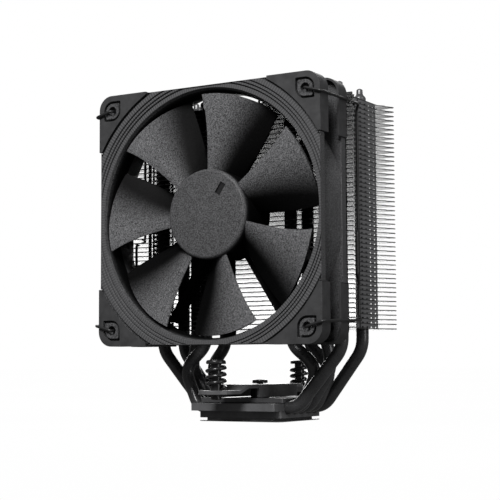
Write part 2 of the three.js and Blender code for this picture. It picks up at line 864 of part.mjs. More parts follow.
function impeller() {
  const blades = [];
  for (let i = 0; i < bladeCount; i += 1) blades.push(fanBlade(i));
  return join(hubCup(), ...blades);
}

// The yoke lines the hub, the magnet lines the yoke, and the shaft hangs from the yoke's middle.
const yokeFrontY = hubFaceY + hubFaceThickness + gap;
const yokeRadius = hubRadius - hubWall - gap;
const yokeWall = 0.9;
const yokeRearY = -31;
const yokeEye = 1.9;
const magnetRadius = 17.9;
const magnetWall = 1.3;
const magnetFrontY = -44;
const magnetRearY = -31.5;

function rotorYoke() {
  return turnedY([
    [yokeEye, yokeFrontY],
    [yokeRadius, yokeFrontY],
    [yokeRadius, yokeRearY],
    [yokeRadius - yokeWall, yokeRearY],
    [yokeRadius - yokeWall, yokeFrontY + yokeWall],
    [yokeEye, yokeFrontY + yokeWall],
    [yokeEye, yokeFrontY],
  ], 22);
}

function rotorMagnet() {
  return turnedY(ringProfile(magnetRadius - magnetWall, magnetRadius, magnetFrontY, magnetRearY), 22);
}

// The shaft's groove takes the retainer, which stops the rotor from pulling out.
const shaftRadius = 1.5;
const shaftFrontY = yokeFrontY;
const shaftRearY = -26;
const shaftGrooveDepth = 0.5;
const shaftGrooveHalf = 0.4;
const retainerY = -27;
const retainerHalf = 0.2;
const retainerRadius = 2.6;

function rotorShaft() {
  const neck = shaftRadius - shaftGrooveDepth;
  return turnedY([
    [0, shaftFrontY],
    [shaftRadius, shaftFrontY],
    [shaftRadius, retainerY - shaftGrooveHalf],
    [neck, retainerY - shaftGrooveHalf],
    [neck, retainerY + shaftGrooveHalf],
    [shaftRadius, retainerY + shaftGrooveHalf],
    [shaftRadius, shaftRearY],
    [0, shaftRearY],
  ], 10);
}

function shaftRetainer() {
  const inner = shaftRadius - shaftGrooveDepth + gap;
  return turnedY(ringProfile(inner, retainerRadius, retainerY - retainerHalf, retainerY + retainerHalf), 10);
}

// The stator: a core with four poles round the bearing housing, and a coil on each pole.
const poleCount = 4;
const coreFrontY = -41.5;
const coreRearY = -33.5;
const coreEye = 6.1;
const coreYoke = 8.6;
const poleHalfWidth = 2.2;
const poleFaceInner = 13.2;
const poleFaceOuter = 15.9;
const poleFaceSpread = 14.5;
const poleSectorReach = 20;
const coilInner = 9.2;
const coilOuter = 12.1;
const coilHalfWidth = 4.3;
const coilOverhang = 1.8;
const bobbinInner = 6.5;
const bobbinOuter = 10;
const bobbinThickness = 1.8;

function aroundFanAxis(geometry, index) {
  return geometry.rotateY((index / poleCount) * 2 * Math.PI);
}

function statorCore() {
  const parts = [turnedY(ringProfile(coreEye, coreYoke, coreFrontY, coreRearY), 16)];
  for (let i = 0; i < poleCount; i += 1) {
    const neck = box(
      coreYoke - 0.6, poleFaceInner + 0.4, coreFrontY, coreRearY, -poleHalfWidth, poleHalfWidth,
    );
    const face = turnedY(ringProfile(poleFaceInner, poleFaceOuter, coreFrontY, coreRearY), 24);
    const sector = extrudeY(
      polygon([[0, 0], [poleSectorReach, -poleFaceSpread], [poleSectorReach, poleFaceSpread]]),
      coreFrontY - overshoot, coreRearY + overshoot,
    );
    parts.push(aroundFanAxis(join(neck, overlapOf(face, sector)), i));
  }
  return join(...parts);
}

function statorWindings() {
  const bobbinRearY = coreFrontY - gap;
  const bobbinFrontY = bobbinRearY - bobbinThickness;
  const parts = [turnedY(ringProfile(bobbinInner, bobbinOuter, bobbinFrontY, bobbinRearY), 16)];
  for (let i = 0; i < poleCount; i += 1) {
    const coil = cut(
      box(
        coilInner, coilOuter, coreFrontY - coilOverhang, coreRearY + coilOverhang,
        -coilHalfWidth, coilHalfWidth,
      ),
      box(
        coilInner - overshoot, coilOuter + overshoot, coreFrontY - gap, coreRearY + gap,
        -poleHalfWidth - gap, poleHalfWidth + gap,
      ),
    );
    parts.push(aroundFanAxis(coil, i));
  }
  const clearance = turnedY(ringProfile(shaftRadius, coreYoke + gap, bobbinRearY, coreRearY + coilOverhang), 16);
  return cut(join(...parts), clearance);
}

// The bearing: a housing on the motor mount, a sleeve inside it, and a cap that closes its rear end.
const housingRadius = 5.8;
const housingWall = 2.2;
const housingFrontY = -42.5;
const housingRearY = -24.8;
const sleeveWall = 1.65;
const sleeveBore = 1.65;
const sleeveFrontY = -41.8;
const sleeveRearY = -27.7;
const capRadius = 3.4;
const capFrontY = -25.4;
const capRearY = -24.2;
const boardRadius = 17.5;
const boardFrontY = -30.4;
const boardThickness = 1.1;

function bearingHousing() {
  return turnedY(ringProfile(housingRadius - housingWall, housingRadius, housingFrontY, housingRearY), 12);
}

function bearingSleeve() {
  return turnedY(ringProfile(sleeveBore, sleeveBore + sleeveWall, sleeveFrontY, sleeveRearY), 10);
}

function circuitBoard() {
  return turnedY(ringProfile(mountOpening + 0.1, boardRadius, boardFrontY, boardFrontY + boardThickness), 18);
}

function bearingCap() {
  return turnedY(discProfile(capRadius, capFrontY, capRearY), 12);
}

// ---------------------------------------------------------------- wire clips

const clipSideX = 61.2;
const clipNotchX = 59.4;
const clipNotchY = -11.9;
const clipStepX = 61.3;
const clipStepY = -16.6;
const clipStepTopZ = 87;            // the finger grip, where the wire steps towards the fan
const clipStepBottomZ = 65;
const clipFrontY = fanFrontY - padProud - gap - clipWireRadius;
const clipHookDepth = 2.2;          // how far each end reaches into its corner hole
const clipDrop = 2.4;               // the wire leans towards the middle as it leaves the hole
const clipBend = 1.4;

// From the upper corner hole, back beside the frame, down the notch of the fins, and forward again.
function fanClip(side) {
  const topZ = fanCentreZ + fanHoleOffset;
  const bottomZ = fanCentreZ - fanHoleOffset;
  const topSideZ = topZ - clipDrop;
  const bottomSideZ = bottomZ + clipDrop;
  const route = [
    [fanHoleOffset, fanFrontY + clipHookDepth, topZ, 0],
    [fanHoleOffset, clipFrontY, topZ, clipBend],
    [clipSideX, clipFrontY, topSideZ, clipBend],
    [clipSideX, clipNotchY - 1.6, topSideZ, 2],
    [clipNotchX, clipNotchY, topSideZ - 2.5, clipBend],
    [clipNotchX, clipNotchY, clipStepTopZ + 1, 1.2],
    [clipStepX, clipStepY, clipStepTopZ - 1, 1.2],
    [clipStepX, clipStepY, clipStepBottomZ + 2, clipBend],
    [clipNotchX, clipNotchY, clipStepBottomZ - 2, clipBend],
    [clipNotchX, clipNotchY, bottomSideZ + 3.5, clipBend],
    [clipSideX, clipNotchY - 1.6, bottomSideZ + 1, 2],
    [clipSideX, clipFrontY, bottomSideZ, clipBend],
    [fanHoleOffset, clipFrontY, bottomZ, clipBend],
    [fanHoleOffset, fanFrontY + clipHookDepth, bottomZ, 0],
  ];
  return tube(bentRoute(route.map(([x, ...rest]) => [side * x, ...rest]), 2), clipWireRadius, 6);
}

// ---------------------------------------------------------------- assembly

function part(name, geometry, finish) {
  const mesh = new THREE.Mesh(closed(geometry), new THREE.MeshStandardMaterial(finishes[finish]));
  mesh.name = name;
  return mesh;
}

function heatSink() {
  const group = new THREE.Group();
  group.add(part('fin_stack', finStack(), 'blackMetal'));
  pipeLayouts.forEach((layout, index) => {
    group.add(part(`heat_pipe_${index + 1}`, heatPipe(layout), 'blackPipe'));
  });
  group.add(part('base_block', baseBlock(), 'blackMetal'));
  group.add(part('top_plate', topPlate(), 'blackMetal'));
  return group;
}

function mounting() {
  const group = new THREE.Group();
  group.add(part('mounting_bar', mountingBar(), 'glossMetal'));
  group.add(part('bar_screw', barScrew(), 'glossMetal'));
  for (const [end, y, ringTurn] of [['front', -screwY, 0], ['rear', screwY, Math.PI]]) {
    const pieces = [
      part(`spring_screw_${end}`, springScrew(), 'glossMetal'),
      part(`screw_spring_${end}`, coilSpring(), 'glossMetal'),
      part(`retaining_ring_${end}`, retainingRing().rotateZ(ringTurn), 'glossMetal'),
    ];
    for (const piece of pieces) {
      piece.position.y = y;
      group.add(piece);
    }
  }
  return group;
}

function fan() {
  const group = new THREE.Group();
  group.position.z = fanCentreZ;
  group.add(part('fan_frame', fanFrame(), 'fanPlastic'));
  const cornerNames = ['top_right', 'top_left', 'bottom_left', 'bottom_right'];
  const faces = [
    ['front', cornerPad(fanFrontY, 1)],
    ['rear', cornerPad(fanRearY, -1)],
  ];
  for (const [face, pad] of faces) {
    quarterTurns(pad).forEach((geometry, corner) => {
      group.add(part(`${face}_pad_${cornerNames[corner]}`, geometry, 'rubber'));
    });
  }
  group.add(part('impeller', impeller(), 'fanPlastic'));
  group.add(part('rotor_yoke', rotorYoke(), 'steel'));
  group.add(part('rotor_magnet', rotorMagnet(), 'magnet'));
  group.add(part('rotor_shaft', rotorShaft(), 'steel'));
  group.add(part('shaft_retainer', shaftRetainer(), 'steel'));
  group.add(part('stator_core', statorCore(), 'steel'));
  group.add(part('stator_windings', statorWindings(), 'winding'));
  group.add(part('bearing_housing', bearingHousing(), 'bronze'));
  group.add(part('bearing_sleeve', bearingSleeve(), 'bronze'));
  group.add(part('motor_board', circuitBoard(), 'board'));
  group.add(part('bearing_cap', bearingCap(), 'fanPlastic'));
  return group;
}

function clips() {
  const group = new THREE.Group();
  group.add(part('fan_clip_left', fanClip(-1), 'glossMetal'));
  group.add(part('fan_clip_right', fanClip(1), 'glossMetal'));
  return group;
}

const cooler = new THREE.Group();
cooler.add(heatSink(), mounting(), fan(), clips());

export default cooler;
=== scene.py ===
"""Looks of the processor cooler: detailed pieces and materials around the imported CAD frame."""

import json
import math

import bmesh
import bpy
from mathutils import Matrix, Vector
from mathutils.geometry import tessellate_polygon


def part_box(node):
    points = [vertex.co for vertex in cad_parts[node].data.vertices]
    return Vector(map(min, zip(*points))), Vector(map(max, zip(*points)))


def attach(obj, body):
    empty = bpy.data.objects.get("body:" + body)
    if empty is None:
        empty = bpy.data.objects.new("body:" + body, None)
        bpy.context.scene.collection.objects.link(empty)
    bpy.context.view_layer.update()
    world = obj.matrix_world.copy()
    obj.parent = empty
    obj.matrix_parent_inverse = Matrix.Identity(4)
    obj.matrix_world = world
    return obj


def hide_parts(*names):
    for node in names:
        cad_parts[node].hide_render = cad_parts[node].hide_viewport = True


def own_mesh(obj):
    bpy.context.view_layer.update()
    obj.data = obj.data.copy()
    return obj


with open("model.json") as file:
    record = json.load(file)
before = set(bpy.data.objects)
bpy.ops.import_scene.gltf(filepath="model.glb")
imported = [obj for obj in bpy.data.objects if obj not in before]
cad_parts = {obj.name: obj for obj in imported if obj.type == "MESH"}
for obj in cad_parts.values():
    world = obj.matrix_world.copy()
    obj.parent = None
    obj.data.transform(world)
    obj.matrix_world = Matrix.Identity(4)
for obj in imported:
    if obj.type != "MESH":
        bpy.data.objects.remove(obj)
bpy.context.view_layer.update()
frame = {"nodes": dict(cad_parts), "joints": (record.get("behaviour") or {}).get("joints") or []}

MM = 0.001                      # the builders below work in millimetres
JOINTS = {joint["name"]: joint for joint in frame["joints"]}


def node_box(name):
    low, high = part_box(name)
    return low / MM, high / MM


# ---------------------------------------------------------------- sizes taken from the frame

FIN_LOW, FIN_HIGH = node_box("fin_stack")
FRAME_LOW, FRAME_HIGH = node_box("fan_frame")
FAN_Z = JOINTS["impeller_spin"]["pos_m"][2] / MM
FAN_FRONT = FRAME_LOW.y
FAN_REAR = FRAME_HIGH.y
SCREW_Y = JOINTS["rear_screw_turn"]["pos_m"][1] / MM
TIP_TOP = node_box("heat_pipe_1")[1].z
HUB_FACE = node_box("impeller")[0].y


# ---------------------------------------------------------------- mesh helpers
# A shape is a list of corners in millimetres and a list of faces.


def merged(*shapes):
    vertices, faces = [], []
    for shape_vertices, shape_faces in shapes:
        offset = len(vertices)
        vertices.extend(shape_vertices)
        faces.extend(tuple(offset + i for i in face) for face in shape_faces)
    return vertices, faces


def moved(shape, x=0.0, y=0.0, z=0.0):
    vertices, faces = shape
    return [(vx + x, vy + y, vz + z) for vx, vy, vz in vertices], faces


def mirrored(shape, sx=1, sz=1):
    """Mirrors a shape about the fan's own axis."""
    vertices, faces = shape
    return [(sx * x, y, FAN_Z + sz * (z - FAN_Z)) for x, y, z in vertices], faces


def new_mesh(name, shape):
    vertices, faces = shape
    mesh = bpy.data.meshes.new(name)
    mesh.from_pydata([(x * MM, y * MM, z * MM) for x, y, z in vertices], [], faces)
    work = bmesh.new()
    work.from_mesh(mesh)
    bmesh.ops.remove_doubles(work, verts=work.verts, dist=1e-7)
    bmesh.ops.dissolve_degenerate(work, edges=work.edges, dist=1e-7)
    bmesh.ops.recalc_face_normals(work, faces=work.faces)
    work.to_mesh(mesh)
    work.free()
    return mesh


def shade(mesh, sharp_degrees):
    mesh.shade_smooth()
    mesh.set_sharp_from_angle(angle=math.radians(sharp_degrees))


def add_piece(name, shape, body, material, replaces=(), sharp_degrees=32):
    mesh = new_mesh(name, shape)
    mesh.materials.append(material)
    shade(mesh, sharp_degrees)
    piece = bpy.data.objects.new(name, mesh)
    bpy.context.scene.collection.objects.link(piece)
    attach(piece, body)
    if replaces:
        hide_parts(*replaces)
    return piece


def bevelled(piece, width, segments=2, degrees=40):
    modifier = piece.modifiers.new("edges", "BEVEL")
    modifier.width = width * MM
    modifier.segments = segments
    modifier.limit_method = "ANGLE"
    modifier.angle_limit = math.radians(degrees)
    modifier.harden_normals = False
    return piece


def carved(piece, *cutters, sharp_degrees=32):
    """Cuts shapes out of a piece and keeps the result as its mesh."""
    tool = bpy.data.objects.new("cutter", new_mesh("cutter", merged(*cutters)))
    bpy.context.scene.collection.objects.link(tool)
    modifier = piece.modifiers.new("cut", "BOOLEAN")
    modifier.operation = "DIFFERENCE"
    modifier.solver = "EXACT"
    modifier.object = tool
    graph = bpy.context.evaluated_depsgraph_get()
    mesh = bpy.data.meshes.new_from_object(piece.evaluated_get(graph))
    piece.modifiers.remove(modifier)
    piece.data = mesh
    shade(mesh, sharp_degrees)
    bpy.data.objects.remove(tool)
    return piece


def box(low, high):
    corners = [(x, y, z) for x in (low[0], high[0]) for y in (low[1], high[1]) for z in (low[2], high[2])]
    return corners, [(0, 1, 3, 2), (4, 6, 7, 5), (0, 4, 5, 1), (2, 3, 7, 6), (0, 2, 6, 4), (1, 5, 7, 3)]


def turned(profile, segments, axis="Y", centre=(0.0, 0.0)):
    """Turns a profile of (radius, height). One that starts and ends off the axis closes on itself."""
    points = list(profile)
    if points[0][0] > 0:
        points.append(points[0])
    vertices, faces = [], []
    for i in range(segments):
        angle = 2 * math.pi * i / segments
        for radius, height in points:
            across, along = radius * math.cos(angle), radius * math.sin(angle)
            if axis == "Y":
                vertices.append((centre[0] + across, height, centre[1] + along))
            else:
                vertices.append((centre[0] + across, centre[1] + along, height))
    count = len(points)
    for i in range(segments):
        a, b = i * count, ((i + 1) % segments) * count
        faces.extend((a + j, a + j + 1, b + j + 1, b + j) for j in range(count - 1))
    return vertices, faces


# for each plane, where x, y and z are found in (first, second, level)
PLANE_ORDERS = {"XY": (0, 1, 2), "XZ": (0, 2, 1), "YZ": (2, 0, 1)}


def plate(outline, holes, low, high, plane="XY"):
    """A flat plate between two levels, which are measured along the axis that the plane leaves out."""
    loops = [outline, *holes]
    flat = [point for loop in loops for point in loop]
    order = PLANE_ORDERS[plane]
    vertices = [tuple((a, b, level)[i] for i in order) for level in (low, high) for a, b in flat]
    triangles = tessellate_polygon([[Vector((x, y, 0)) for x, y in loop] for loop in loops])
    count = len(flat)
    faces = [tuple(t) for t in triangles] + [tuple(count + i for i in reversed(t)) for t in triangles]
    start = 0
    for loop in loops:
        size = len(loop)
        for i in range(size):
            a, b = start + i, start + (i + 1) % size
            faces.append((a, b, count + b, count + a))
        start += size
    return vertices, faces


def loft_faces(rings, size, closed=False, ends=False):
    """The faces that join rings of corners, one after another, with a face over each end if wanted."""
    faces = []
    for i in range(rings if closed else rings - 1):
        a, b = i * size, (i + 1) % rings * size
        faces.extend((a + j, a + (j + 1) % size, b + (j + 1) % size, b + j) for j in range(size))
    if ends:
        faces += [tuple(range(size)), tuple(range((rings - 1) * size, rings * size))]
    return faces


def swept(points, radius, sides, end_steps=4):
    """A round rod along a path, with rounded ends."""
    path = [Vector(p) for p in points]
    tangents = []
    for i in range(len(path)):
        before, after = path[max(i - 1, 0)], path[min(i + 1, len(path) - 1)]
        tangents.append((after - before).normalized())
    normal = tangents[0].orthogonal().normalized()
    rings = []
    for i, point in enumerate(path):
        normal = (normal - tangents[i] * normal.dot(tangents[i])).normalized()
        rings.append((point, tangents[i], normal, radius))
    first, last = rings[0], rings[-1]
    caps_before, caps_after = [], []
    for step in range(end_steps, 0, -1):
        turn = math.pi / 2 * step / end_steps
        size, reach = math.cos(turn), math.sin(turn)
        caps_before.append((first[0] - first[1] * first[3] * reach, first[1], first[2], first[3] * size))
        caps_after.insert(0, (last[0] + last[1] * last[3] * reach, last[1], last[2], last[3] * size))
    vertices = []
    everything = caps_before + rings + caps_after
    for point, tangent, across, size in everything:
        up = tangent.cross(across)
        for k in range(sides):
            angle = 2 * math.pi * k / sides
            vertices.append(tuple(point + (across * math.cos(angle) + up * math.sin(angle)) * size))
    return vertices, loft_faces(len(everything), sides)


def bent_route(corners, steps):
    """Rounds the corners of a route of (x, y, z, bend radius)."""
    points = [Vector(c[:3]) for c in corners]
    route = [points[0]]
    for i in range(1, len(points) - 1):
        back, ahead = (points[i - 1] - points[i]).normalized(), (points[i + 1] - points[i]).normalized()
        reach = corners[i][3] * math.tan((math.pi - back.angle(ahead)) / 2)
        start, end = points[i] + back * reach, points[i] + ahead * reach
        for step in range(steps + 1):
            t = step / steps
            route.append(start * (1 - t) ** 2 + points[i] * 2 * t * (1 - t) + end * t * t)
    route.append(points[-1])
    return route


def arc(cx, cy, radius, start, end, steps):
    """Points on an arc, with its angles in degrees."""
    points = []
    for i in range(steps + 1):
        angle = math.radians(start + (end - start) * i / steps)
        points.append((cx + radius * math.cos(angle), cy + radius * math.sin(angle)))
    return points


def circle(cx, cy, radius, count):
    """The outline of a round hole, as this many points."""
    return arc(cx, cy, radius, 0, 360 - 360 / count, count - 1)


# ---------------------------------------------------------------- materials


def new_material(name, colour, roughness, metallic=0.0, specular=0.5):
    material = bpy.data.materials.new(name)
    material.use_nodes = True
    shader = material.node_tree.nodes["Principled BSDF"]
    shader.inputs["Base Color"].default_value = (*colour, 1)
    shader.inputs["Roughness"].default_value = roughness
    shader.inputs["Metallic"].default_value = metallic
    shader.inputs["Specular IOR Level"].default_value = specular
    return material


def node(material, kind, **values):
    made = material.node_tree.nodes.new(kind)
    for key, value in values.items():
        if key in made.inputs:
            made.inputs[key].default_value = value
        else:
            setattr(made, key, value)
    return made


def link(material, source, target):
    material.node_tree.links.new(source, target)


def place_of(material):
    return node(material, "ShaderNodeTexCoord").outputs["Object"]


def noise(material, scale, detail=2.0, roughness=0.6):
    made = node(material, "ShaderNodeTexNoise", Scale=scale, Detail=detail, Roughness=roughness)
    link(material, place_of(material), made.inputs["Vector"])
    return made.outputs["Fac"]


def ramp(material, source, low, high, from_low=0.3, from_high=0.7):
    """Colours from low to high as the source value rises."""
    made = node(material, "ShaderNodeValToRGB")
    made.color_ramp.elements[0].position = from_low
    made.color_ramp.elements[0].color = (*low, 1)
    made.color_ramp.elements[1].position = from_high
    made.color_ramp.elements[1].color = (*high, 1)
    link(material, source, made.inputs["Fac"])
    return made.outputs["Color"]


def set_roughness(material, source, low, high):
    made = node(material, "ShaderNodeMapRange")
    made.inputs["To Min"].default_value = low
    made.inputs["To Max"].default_value = high
    link(material, source, made.inputs["Value"])
    link(material, made.outputs["Result"], material.node_tree.nodes["Principled BSDF"].inputs["Roughness"])


def set_bump(material, source, height, strength=1.0):
    made = node(material, "ShaderNodeBump", Strength=strength, Distance=height * MM)
    link(material, source, made.inputs["Height"])
    link(material, made.outputs["Normal"], material.node_tree.nodes["Principled BSDF"].inputs["Normal"])


def set_colour(material, colour):
    link(material, colour, material.node_tree.nodes["Principled BSDF"].inputs["Base Color"])


def grey(value):
    return (value, value, value * 1.03)


PLASTIC_GRAIN = (2000, 3, 0.8)  # scale, detail and roughness of its noise
GRAIN_HEIGHT = 0.09
INLET_RIBS = 300
# ShaderNodeMix has a set of sockets for each kind of value: these are the places of the colour ones
MIX_FIRST, MIX_SECOND, MIX_RESULT = 6, 7, 2


def grained_plastic():
    """Spark-eroded plastic of the frame and the hub: nearly black, with a fine sparkling grain."""
    material = new_material("grained_plastic", grey(0.02), 0.5, specular=0.2)
    grain = noise(material, *PLASTIC_GRAIN)
    set_colour(material, ramp(material, grain, grey(0.008), grey(0.11), 0.36, 0.68))
    set_roughness(material, noise(material, 900), 0.42, 0.58)
    set_bump(material, grain, GRAIN_HEIGHT)
    return material


def plastic_with_painted_depth_shade(name, light_y, dark_y):
    """The same plastic with painted shade: it darkens between two depths in the duct, where less light
    comes, and is lighter than the frame's plastic in front of them.
    """
    material = new_material(name, grey(0.02), 0.5, specular=0.05)
    grain = noise(material, *PLASTIC_GRAIN)
    light = ramp(material, grain, grey(0.015), grey(0.2), 0.38, 0.66)
    dark = ramp(material, grain, grey(0.0006), grey(0.004), 0.36, 0.68)
    split = node(material, "ShaderNodeSeparateXYZ")
    link(material, place_of(material), split.inputs["Vector"])
    depth = node(material, "ShaderNodeMapRange", interpolation_type="SMOOTHSTEP")
    depth.inputs["From Min"].default_value = light_y * MM
    depth.inputs["From Max"].default_value = dark_y * MM
    link(material, split.outputs["Y"], depth.inputs["Value"])
    mix = node(material, "ShaderNodeMix", data_type="RGBA")
    link(material, depth.outputs["Result"], mix.inputs["Factor"])
    link(material, light, mix.inputs[MIX_FIRST])
    link(material, dark, mix.inputs[MIX_SECOND])
    set_colour(material, mix.outputs[MIX_RESULT])
    set_roughness(material, noise(material, 900), 0.45, 0.6)
    set_bump(material, grain, GRAIN_HEIGHT)
    return material


def mark_recess_painted_shade():
    """The floor of the hub's mark: nearly black, a painted shade in the recess."""
    material = new_material("mark_recess_painted_shade", grey(0.01), 0.7, specular=0.1)
    set_colour(material, ramp(material, noise(material, 700, 3), grey(0.008), grey(0.016)))
    return material


def ribbed_plastic_painted_shade():
    """The inlet ring: fine ribs that run outwards from the fan's axis, with painted shade in their grooves
    and a painted highlight on their crests.
    """
    material = new_material("ribbed_plastic_painted_shade", grey(0.03), 0.48, specular=0.2)
    split = node(material, "ShaderNodeSeparateXYZ")
    link(material, place_of(material), split.inputs["Vector"])
    height = node(material, "ShaderNodeMath", operation="SUBTRACT")
    link(material, split.outputs["Z"], height.inputs[0])
    height.inputs[1].default_value = FAN_Z * MM
    angle = node(material, "ShaderNodeMath", operation="ARCTAN2")
    link(material, height.outputs[0], angle.inputs[0])
    link(material, split.outputs["X"], angle.inputs[1])
    turns = node(material, "ShaderNodeMath", operation="MULTIPLY")
    link(material, angle.outputs[0], turns.inputs[0])
    turns.inputs[1].default_value = INLET_RIBS
    wave = node(material, "ShaderNodeMath", operation="SINE")
    link(material, turns.outputs[0], wave.inputs[0])
    # painted shade and highlight: darker in the grooves, lighter on the crests
    set_colour(material, ramp(material, wave.outputs[0], grey(0.05), grey(0.085), 0.0, 1.0))
    set_bump(material, wave.outputs[0], 0.03)
    return material


def rubber():
    material = new_material("pad_rubber", grey(0.02), 0.55, specular=0.22)
    set_colour(material, ramp(material, noise(material, 260, 3), grey(0.026), grey(0.04)))
    set_roughness(material, noise(material, 600), 0.45, 0.65)
    set_bump(material, noise(material, 2600, 1), 0.02)
    return material


def coated_metal(name, value, roughness, metallic=0.0, specular=0.5, bump=0.015):
    """Black coating with faint clouding, so that highlights are not perfectly even."""
    material = new_material(name, grey(value), roughness, metallic, specular)
    cloud = noise(material, 140, 4)
    set_colour(material, ramp(material, cloud, grey(value * 0.8), grey(value * 1.25)))
    set_roughness(material, noise(material, 420, 3), roughness * 0.85, roughness * 1.2)
    set_bump(material, noise(material, 1900, 2), bump)
    return material


def bare_metal(name, colour, roughness):
    material = new_material(name, colour, roughness, metallic=1.0)
    darker = tuple(c * 0.7 for c in colour)
    set_colour(material, ramp(material, noise(material, 300, 4), darker, colour))
    set_roughness(material, noise(material, 900), roughness * 0.8, roughness * 1.3)
    set_bump(material, noise(material, 2200), 0.01)
    return material


def winding_copper():
    """Enamelled wire, as fine even turns."""
    material = new_material("winding_copper", (0.4, 0.14, 0.05), 0.35, metallic=0.7)
    turns = node(material, "ShaderNodeTexWave", Scale=900.0, Distortion=0.3)
    turns.bands_direction = "Y"
    link(material, place_of(material), turns.inputs["Vector"])
    set_colour(material, ramp(material, turns.outputs["Fac"], (0.2, 0.06, 0.02), (0.5, 0.19, 0.07)))
    set_bump(material, turns.outputs["Fac"], 0.1)
    return material


BLADE_SHADE = (-48.3, -41.3)    # where the painted shade starts and is full, along Y
DUCT_SHADE = (-52.0, -43.0)

PLASTIC = grained_plastic()
# blades and the inside of the duct: plastic with painted shade, darker with depth along Y
BLADE_PLASTIC_PAINTED_SHADE = plastic_with_painted_depth_shade("blade_plastic_painted_shade", *BLADE_SHADE)
DUCT_PLASTIC_PAINTED_SHADE = plastic_with_painted_depth_shade("duct_plastic_painted_shade", *DUCT_SHADE)
MARK_RECESS_PAINTED_SHADE = mark_recess_painted_shade()
RIBBED = ribbed_plastic_painted_shade()
RUBBER = rubber()
FIN_BLACK = coated_metal("fin_black", 0.02, 0.16, specular=0.45, bump=0.0)
TAB_GREY = coated_metal("tab_grey", 0.12, 0.45, metallic=0.2, specular=0.3)
PIPE_BLACK = coated_metal("pipe_black", 0.06, 0.27, metallic=0.25, bump=0.02)
BASE_BLACK = coated_metal("base_black", 0.09, 0.36, metallic=0.2, specular=0.3)
GLOSS_BLACK = coated_metal("gloss_black", 0.02, 0.2, metallic=0.3, bump=0.005)
STEEL = bare_metal("motor_steel", (0.5, 0.5, 0.51), 0.35)
BRASS = bare_metal("bearing_brass", (0.55, 0.4, 0.2), 0.35)
FERRITE = coated_metal("ferrite", 0.06, 0.7)
WIRE_BLACK = coated_metal("wire_black", 0.012, 0.38, specular=0.35, bump=0.005)
COPPER = winding_copper()
BOARD = coated_metal("solder_resist", 0.05, 0.4)
BOARD.node_tree.nodes["Principled BSDF"].inputs["Coat Weight"].default_value = 0.2


# ---------------------------------------------------------------- camera, lights and floor


CAMERA_PLACE = (0.3314, -0.5625, 0.0263)
CAMERA_TURNS = (-30.9, 4.89, -0.3)      # yaw, pitch and roll in degrees
CAMERA_LENS = 97
CAMERA_REACH = 20
MIDDLE_OF_COOLER = (0, 0, 0.08)
# name, place, what it faces, size and power; the back light shines through between the fins
LIGHTS = (
    ("key", (0.22, -1.0, 0.9), MIDDLE_OF_COOLER, (0.5, 0.5), 26),
    ("side", (0.75, -0.1, 0.28), MIDDLE_OF_COOLER, (0.3, 0.9), 3),
    ("back", (-0.42, 0.75, 0.4), (0, 0, 0.09), (0.8, 0.9), 9),
)
AMBIENT = 0.14                  # light from the plain white surroundings, which the camera sees as white
FLOOR_HALF = 9000


def make_camera():
    """The photograph's viewpoint: low, in front and to the right."""
    yaw, pitch, roll = (math.radians(degrees) for degrees in CAMERA_TURNS)
    ahead = Vector((math.cos(pitch) * math.sin(yaw), math.cos(pitch) * math.cos(yaw), math.sin(pitch)))
    level = Vector((math.cos(yaw), -math.sin(yaw), 0))
    above = level.cross(ahead)
    right = level * math.cos(roll) + above * math.sin(roll)
    up = above * math.cos(roll) - level * math.sin(roll)
    data = bpy.data.cameras.new("camera")
    data.sensor_width = 36
    data.lens = CAMERA_LENS
    data.clip_end = CAMERA_REACH
    camera = bpy.data.objects.new("camera", data)
    turn = Matrix((right, up, -ahead)).transposed()
    camera.matrix_world = Matrix.Translation(CAMERA_PLACE) @ turn.to_4x4()
    bpy.context.scene.collection.objects.link(camera)
    bpy.context.scene.camera = camera


def add_area_light(name, place, target, size, power):
    data = bpy.data.lights.new(name, "AREA")
    data.shape = "RECTANGLE"
    data.size, data.size_y = size
    data.energy = power
    lamp = bpy.data.objects.new(name, data)
    lamp.location = place
    lamp.rotation_euler = (Vector(target) - Vector(place)).to_track_quat("-Z", "Y").to_euler()
    lamp.visible_camera = False
    bpy.context.scene.collection.objects.link(lamp)


def surroundings_strength(tree):
    """White to the camera, and a weak light for everything else."""
    seen = tree.nodes.new("ShaderNodeLightPath")
    strength = tree.nodes.new("ShaderNodeMapRange")
    strength.inputs["To Min"].default_value = AMBIENT
    strength.inputs["To Max"].default_value = 1.0
    tree.links.new(seen.outputs["Is Camera Ray"], strength.inputs["Value"])
    return strength.outputs["Result"]


def make_floor_material():
    """A plain floor that continues the white surroundings."""
    material = new_material("floor", (0.5, 0.5, 0.5), 0.8, specular=0.1)
    tree = material.node_tree
    glow = node(material, "ShaderNodeEmission")
    link(material, ramp(material, noise(material, 3), (0.99,) * 3, (1,) * 3), glow.inputs["Color"])
    link(material, surroundings_strength(tree), glow.inputs["Strength"])
    link(material, glow.outputs[0], tree.nodes["Material Output"].inputs["Surface"])
    return material


def make_studio():
    world = bpy.data.worlds.new("studio")
    world.use_nodes = True
    backdrop = world.node_tree.nodes["Background"]
    backdrop.inputs["Color"].default_value = (1, 1, 1, 1)
    world.node_tree.links.new(surroundings_strength(world.node_tree), backdrop.inputs["Strength"])
    bpy.context.scene.world = world
    bpy.context.scene.view_settings.view_transform = "Standard"
    for light in LIGHTS:
        add_area_light(*light)
    corners = [(x * FLOOR_HALF, y * FLOOR_HALF, 0) for x, y in ((-1, -1), (1, -1), (1, 1), (-1, 1))]
    mesh = new_mesh("floor", (corners, [(0, 1, 2, 3)]))
    mesh.materials.append(make_floor_material())
    floor = bpy.data.objects.new("floor", mesh)
    bpy.context.scene.collection.objects.link(floor)


# ---------------------------------------------------------------- heat pipes

